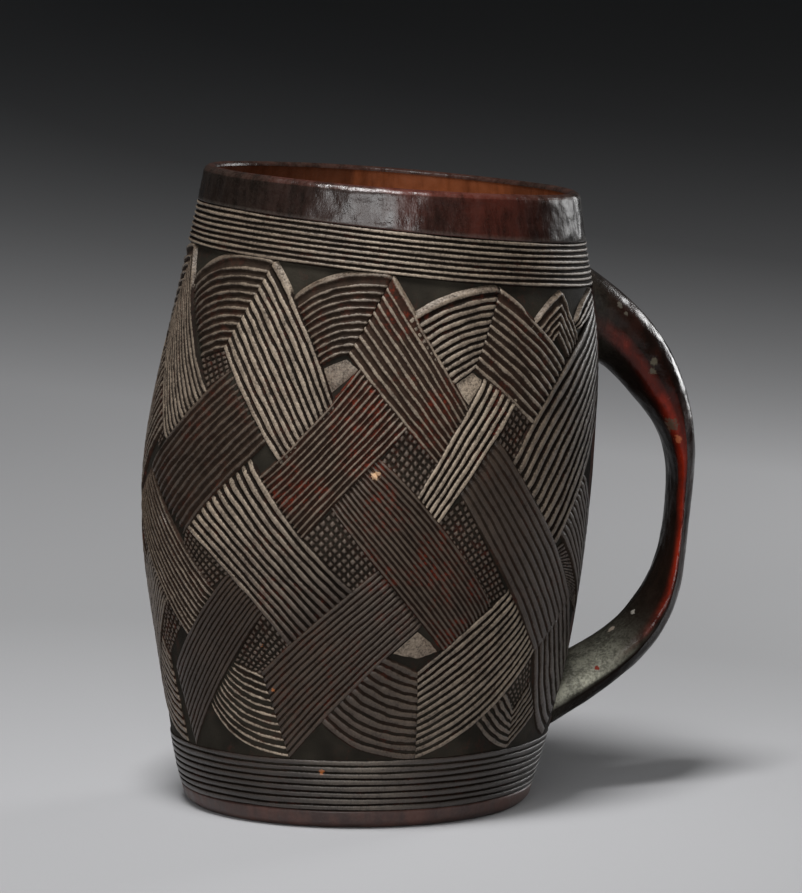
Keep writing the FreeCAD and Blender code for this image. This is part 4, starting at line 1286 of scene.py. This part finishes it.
@dataclass
class Handle:
    """The loop handle, from its upper root to its lower one.

    Each row of the two tables is a section: its distance out and its height as shares, its angle in
    degrees, and its width, thickness, outer crown and inner crown as shares.
    """

    form: CupForm
    low: float = 0.0245
    high: float = 0.145
    standoff: float = 0.0297
    width: float = 0.028
    thickness: float = 0.0147
    crown: float = 0.0026
    rings: int = 150
    flat_columns: int = 17
    edge_columns: int = 4
    outer_round: float = 0.0024
    inner_round: float = 0.0007
    corner_round: float = 0.00035
    facet_depth: float = 0.00011
    face_margin: float = 0.0001
    side_margin: float = 0.00012
    sunk_root: float = 0.0028
    root_reach: float = 0.0045
    seed: int = 71
    upper_shares: tuple[tuple[float, ...], ...] = (
        (0.0, 0.995, 86.0, 0.90, 1.12, 0.7, 4.6), (0.262, 0.94, 73.0, 0.89, 0.90, 0.75, 3.9),
        (0.562, 0.861, 58.0, 0.80, 0.78, 0.85, 2.2), (0.782, 0.767, 46.8, 0.77, 0.72, 0.87, 1.4),
        (0.928, 0.67, 34.0, 0.70, 0.53, 0.8, 0.8), (1.0, 0.564, 12.5, 0.61, 0.34, 0.7, 0.35),
        (0.993, 0.461, -1.0, 0.57, 0.27, 0.6, 0.3))
    lower_shares: tuple[tuple[float, ...], ...] = (
        (0.953, 0.329, -19.0, 0.66, 0.27, 0.6, 0.6), (0.863, 0.221, -38.7, 0.81, 0.35, 0.65, 1.3),
        (0.655, 0.126, -53.5, 0.91, 0.43, 0.7, 1.5), (0.379, 0.060, -62.0, 0.99, 0.54, 0.77, 1.4),
        (0.07, 0.0, -68.0, 1.0, 0.65, 0.77, 1.2))

    def stations(self) -> tuple[np.ndarray, np.ndarray]:
        """Smooth stations along the handle.

        Returns:
            Places along it from 0 to 1, and for each place the distance out, height, angle and the
            four shares of the section.
        """
        span = self.form.belly_radius + self.standoff
        rows = []
        for root, table in ((self.form.lip_radius, self.upper_shares),
                            (self.form.foot_radius, self.lower_shares)):
            for reach, rise, *rest in table:
                rows.append((root + (span - root) * reach, self.low + (self.high - self.low) * rise, *rest))
        rows = np.array(rows)
        ways = np.append(0.0, np.cumsum(np.hypot(*np.diff(rows[:, :2], axis=0).T)))
        steps = np.linspace(0.0, ways[-1], self.rings)
        return steps / ways[-1], np.stack([SmoothCurve(ways, column)(steps) for column in rows.T], axis=-1)

    def build(self) -> None:
        """Makes the handle."""
        places, stations = self.stations()
        flat, edge = np.linspace(-1, 1, self.flat_columns), np.ones(self.edge_columns)
        side = np.linspace(1, -1, self.edge_columns + 2)[1:-1]
        across = np.concatenate([flat, edge, -flat, -edge])
        face = np.concatenate([np.ones_like(flat), side, -np.ones_like(flat), -side])
        on_face = np.abs(face) == 1
        out, rise, tilt, width, thick, outer, inner = (column[:, None] for column in stations.T)
        crown = np.where(face > 0, outer, inner) * self.crown * (1 - across ** 2) * on_face
        soften = np.where(face > 0, self.outer_round * np.abs(across) ** 5,
                          self.inner_round * np.abs(across) ** 14) * on_face
        depth = face * (self.thickness * thick / 2 - self.face_margin) + np.sign(face) * (crown - soften)
        depth = depth - self.outer_round * (face > 0) * ~on_face * np.abs(face)
        facet = Waver(self.seed).lines(len(across), places, 10.0) * self.facet_depth
        depth = depth - np.sign(face) * (self.facet_depth + facet)
        rounded = np.sign(across) * self.corner_round * (np.abs(face) > 0.85)
        sidewise = across * (self.width * width / 2 - self.side_margin) - rounded
        turn = np.radians(tilt)
        x = out + depth * np.cos(turn)
        z = rise + depth * np.sin(turn)
        y = sidewise * np.ones_like(x)
        lean, radius = self.form.lean(z), self.form.radius(z) - self.sunk_root
        away = np.hypot(x - lean, y)
        push = np.where(away < radius, radius / np.maximum(away, 1e-6), 1.0)
        grid = np.stack([lean + (x - lean) * push, y * push, z], axis=-1)
        root = np.exp(-np.maximum(away - self.form.radius(z), 0.0) / self.root_reach)
        way = places[:, None]
        # Pale dust at the lower root; its very pale colour is partly painted light where the body shades that
        # place.
        low_inner = bell(way, 0.965, 0.095) * (face < 0)
        low_half = np.clip((way - 0.45) / 0.1, 0.0, 1.0)
        arris = bell(np.abs(across), 1.0, 0.07 + 0.10 * bell(way, 0.42, 0.14)) * (face < -0.3)
        flank = bell(way, 0.46, 0.12) * (face > -0.5) * (face < 0.9)
        calm = 1.0 - 0.75 * np.clip((way - 0.68) / 0.12, 0.0, 1.0)
        # Painted shade: the inner face gets little shine, and so a darker colour; beyond the grip the lower
        # arm is made duller and darker too.
        values = {
            "dust_and_painted_light": np.clip((0.04 + 0.5 * low_half * (face < 0.3)) * root + 1.1 * low_inner, 0.0, 1.0),
            "red": np.clip((0.02 + 0.85 * arris + 0.40 * flank) * bell(way, 0.46, 0.31, 4), 0.0, 1.0),
            "shine_and_painted_shade": np.clip((np.where(face < -0.9, 0.15, 1.0) + arris) * calm, 0.0, 1.0)}
        finish = PolishedWood("handle_wood", dark=(0.0045, 0.0028, 0.0020), light=(0.0125, 0.0042, 0.0026),
                              bare=(0.20, 0.013, 0.004), dusty=(0.66, 0.65, 0.52), grain=(1.0, 1.0, 0.5),
                              roughness=(0.15, 0.30), bump_depth=0.0009, gloss=0.22, wax=0.0,
                              marks=HANDLE_MARKS)
        make_piece("loop_handle", [(grid, values)], finish.build(), "handle", True, True)


@dataclass
class Studio:
    """The floor, the soft lamps and the camera at the photograph's angle."""

    floor_radius: float = 8.0
    floor_sides: int = 96
    azimuth: float = -13.0
    elevation: float = 7.6
    distance: float = 1.45
    target: Colour = (0.004, 0.0, 0.084)
    lens: float = 213.4
    shift: tuple[float, float] = (0.0336, 0.0526)
    sensor: float = 36.0
    clip_end: float = 60.0
    world_colour: Colour = (0.9, 0.95, 1.0)
    world_level: float = 0.035

    def hang(self, data: bpy.types.ID, azimuth: float, elevation: float, distance: float) -> bpy.types.Object:
        """Hangs a lamp or camera that faces the cup.

        Args:
            data: The lamp's or camera's data.
            azimuth: Degrees round the cup; 0 is in front, on -Y.
            elevation: Degrees above the horizon.
            distance: Metres from the cup.

        Returns:
            The new object.
        """
        turn, rise = math.radians(azimuth), math.radians(elevation)
        back = Vector((math.sin(turn) * math.cos(rise), -math.cos(turn) * math.cos(rise), math.sin(rise)))
        item = bpy.data.objects.new(data.name, data)
        item.location = Vector(self.target) + back * distance
        item.rotation_euler = back.to_track_quat("Z", "Y").to_euler()
        bpy.context.scene.collection.objects.link(item)
        return item

    def place_camera(self) -> None:
        """Makes the scene's camera."""
        data = bpy.data.cameras.new("camera")
        data.lens = self.lens
        data.sensor_width = self.sensor
        data.sensor_fit = "AUTO"
        data.shift_x, data.shift_y = self.shift
        data.clip_end = self.clip_end
        bpy.context.scene.camera = self.hang(data, self.azimuth, self.elevation, self.distance)

    def place_lamp(self, name: str, place: Colour, size: tuple[float, float], power: float,
                   spread: float = 180.0) -> None:
        """Hangs one rectangular soft box.

        Args:
            name: The lamp's name.
            place: Azimuth and elevation in degrees and distance in metres.
            size: Width and height in metres.
            power: Watts.
            spread: Degrees over which the light fans out.
        """
        data = bpy.data.lights.new(name, "AREA")
        data.shape = "RECTANGLE"
        data.size, data.size_y = size
        data.energy = power
        data.spread = math.radians(spread)
        self.hang(data, *place)

    def lay_floor(self) -> None:
        """Lays the round paper floor."""
        mesh = bpy.data.meshes.new("floor")
        turns = [2 * math.pi * step / self.floor_sides for step in range(self.floor_sides)]
        reach = self.floor_radius
        ring = [(reach * math.cos(turn), reach * math.sin(turn), 0.0) for turn in turns]
        mesh.from_pydata(ring, [], [tuple(range(self.floor_sides))])
        floor = bpy.data.objects.new("floor", mesh)
        floor.data.materials.append(PaperSweep().build())
        bpy.context.scene.collection.objects.link(floor)

    def light_world(self) -> None:
        """Gives the world an even grey light."""
        world = bpy.data.worlds.new("studio")
        world.use_nodes = True
        background = world.node_tree.nodes["Background"]
        background.inputs["Color"].default_value = (*self.world_colour, 1.0)
        background.inputs["Strength"].default_value = self.world_level
        bpy.context.scene.world = world

    def build(self) -> None:
        """Sets the whole studio."""
        self.lay_floor()
        self.light_world()
        self.place_lamp("key", (-33.0, 71.0, 1.5), (0.42, 0.42), 28.0)
        self.place_lamp("front", (-25.0, 17.0, 2.1), (1.2, 0.6), 19.0)
        self.place_lamp("right", (122.0, 12.0, 1.6), (0.5, 0.6), 1.1, 60.0)
        self.place_camera()
        bpy.context.scene.view_settings.view_transform = "Standard"


def main() -> None:
    """Builds the cup and the studio and reports each piece."""
    form = CupForm()
    Strapwork(form).build()
    upper = LinedBand(form, "upper_line_band", Zone.UPPER_BAND, 0.28, 0.00075, 0.60, 0.45, 21)
    upper.build(CarvedWood("upper_lines").build())
    lower = LinedBand(form, "lower_line_band", Zone.LOWER_BAND, 0.58, 0.00062, 0.0, 0.26, 22)
    lower.build(CarvedWood("lower_lines", crest=(0.022, 0.016, 0.0125), gloss=0.6).build())
    Shell(form).build()
    Handle(form).build()
    Studio().build()


if __name__ == "__main__":
    logging.basicConfig(level=logging.INFO)
    main()
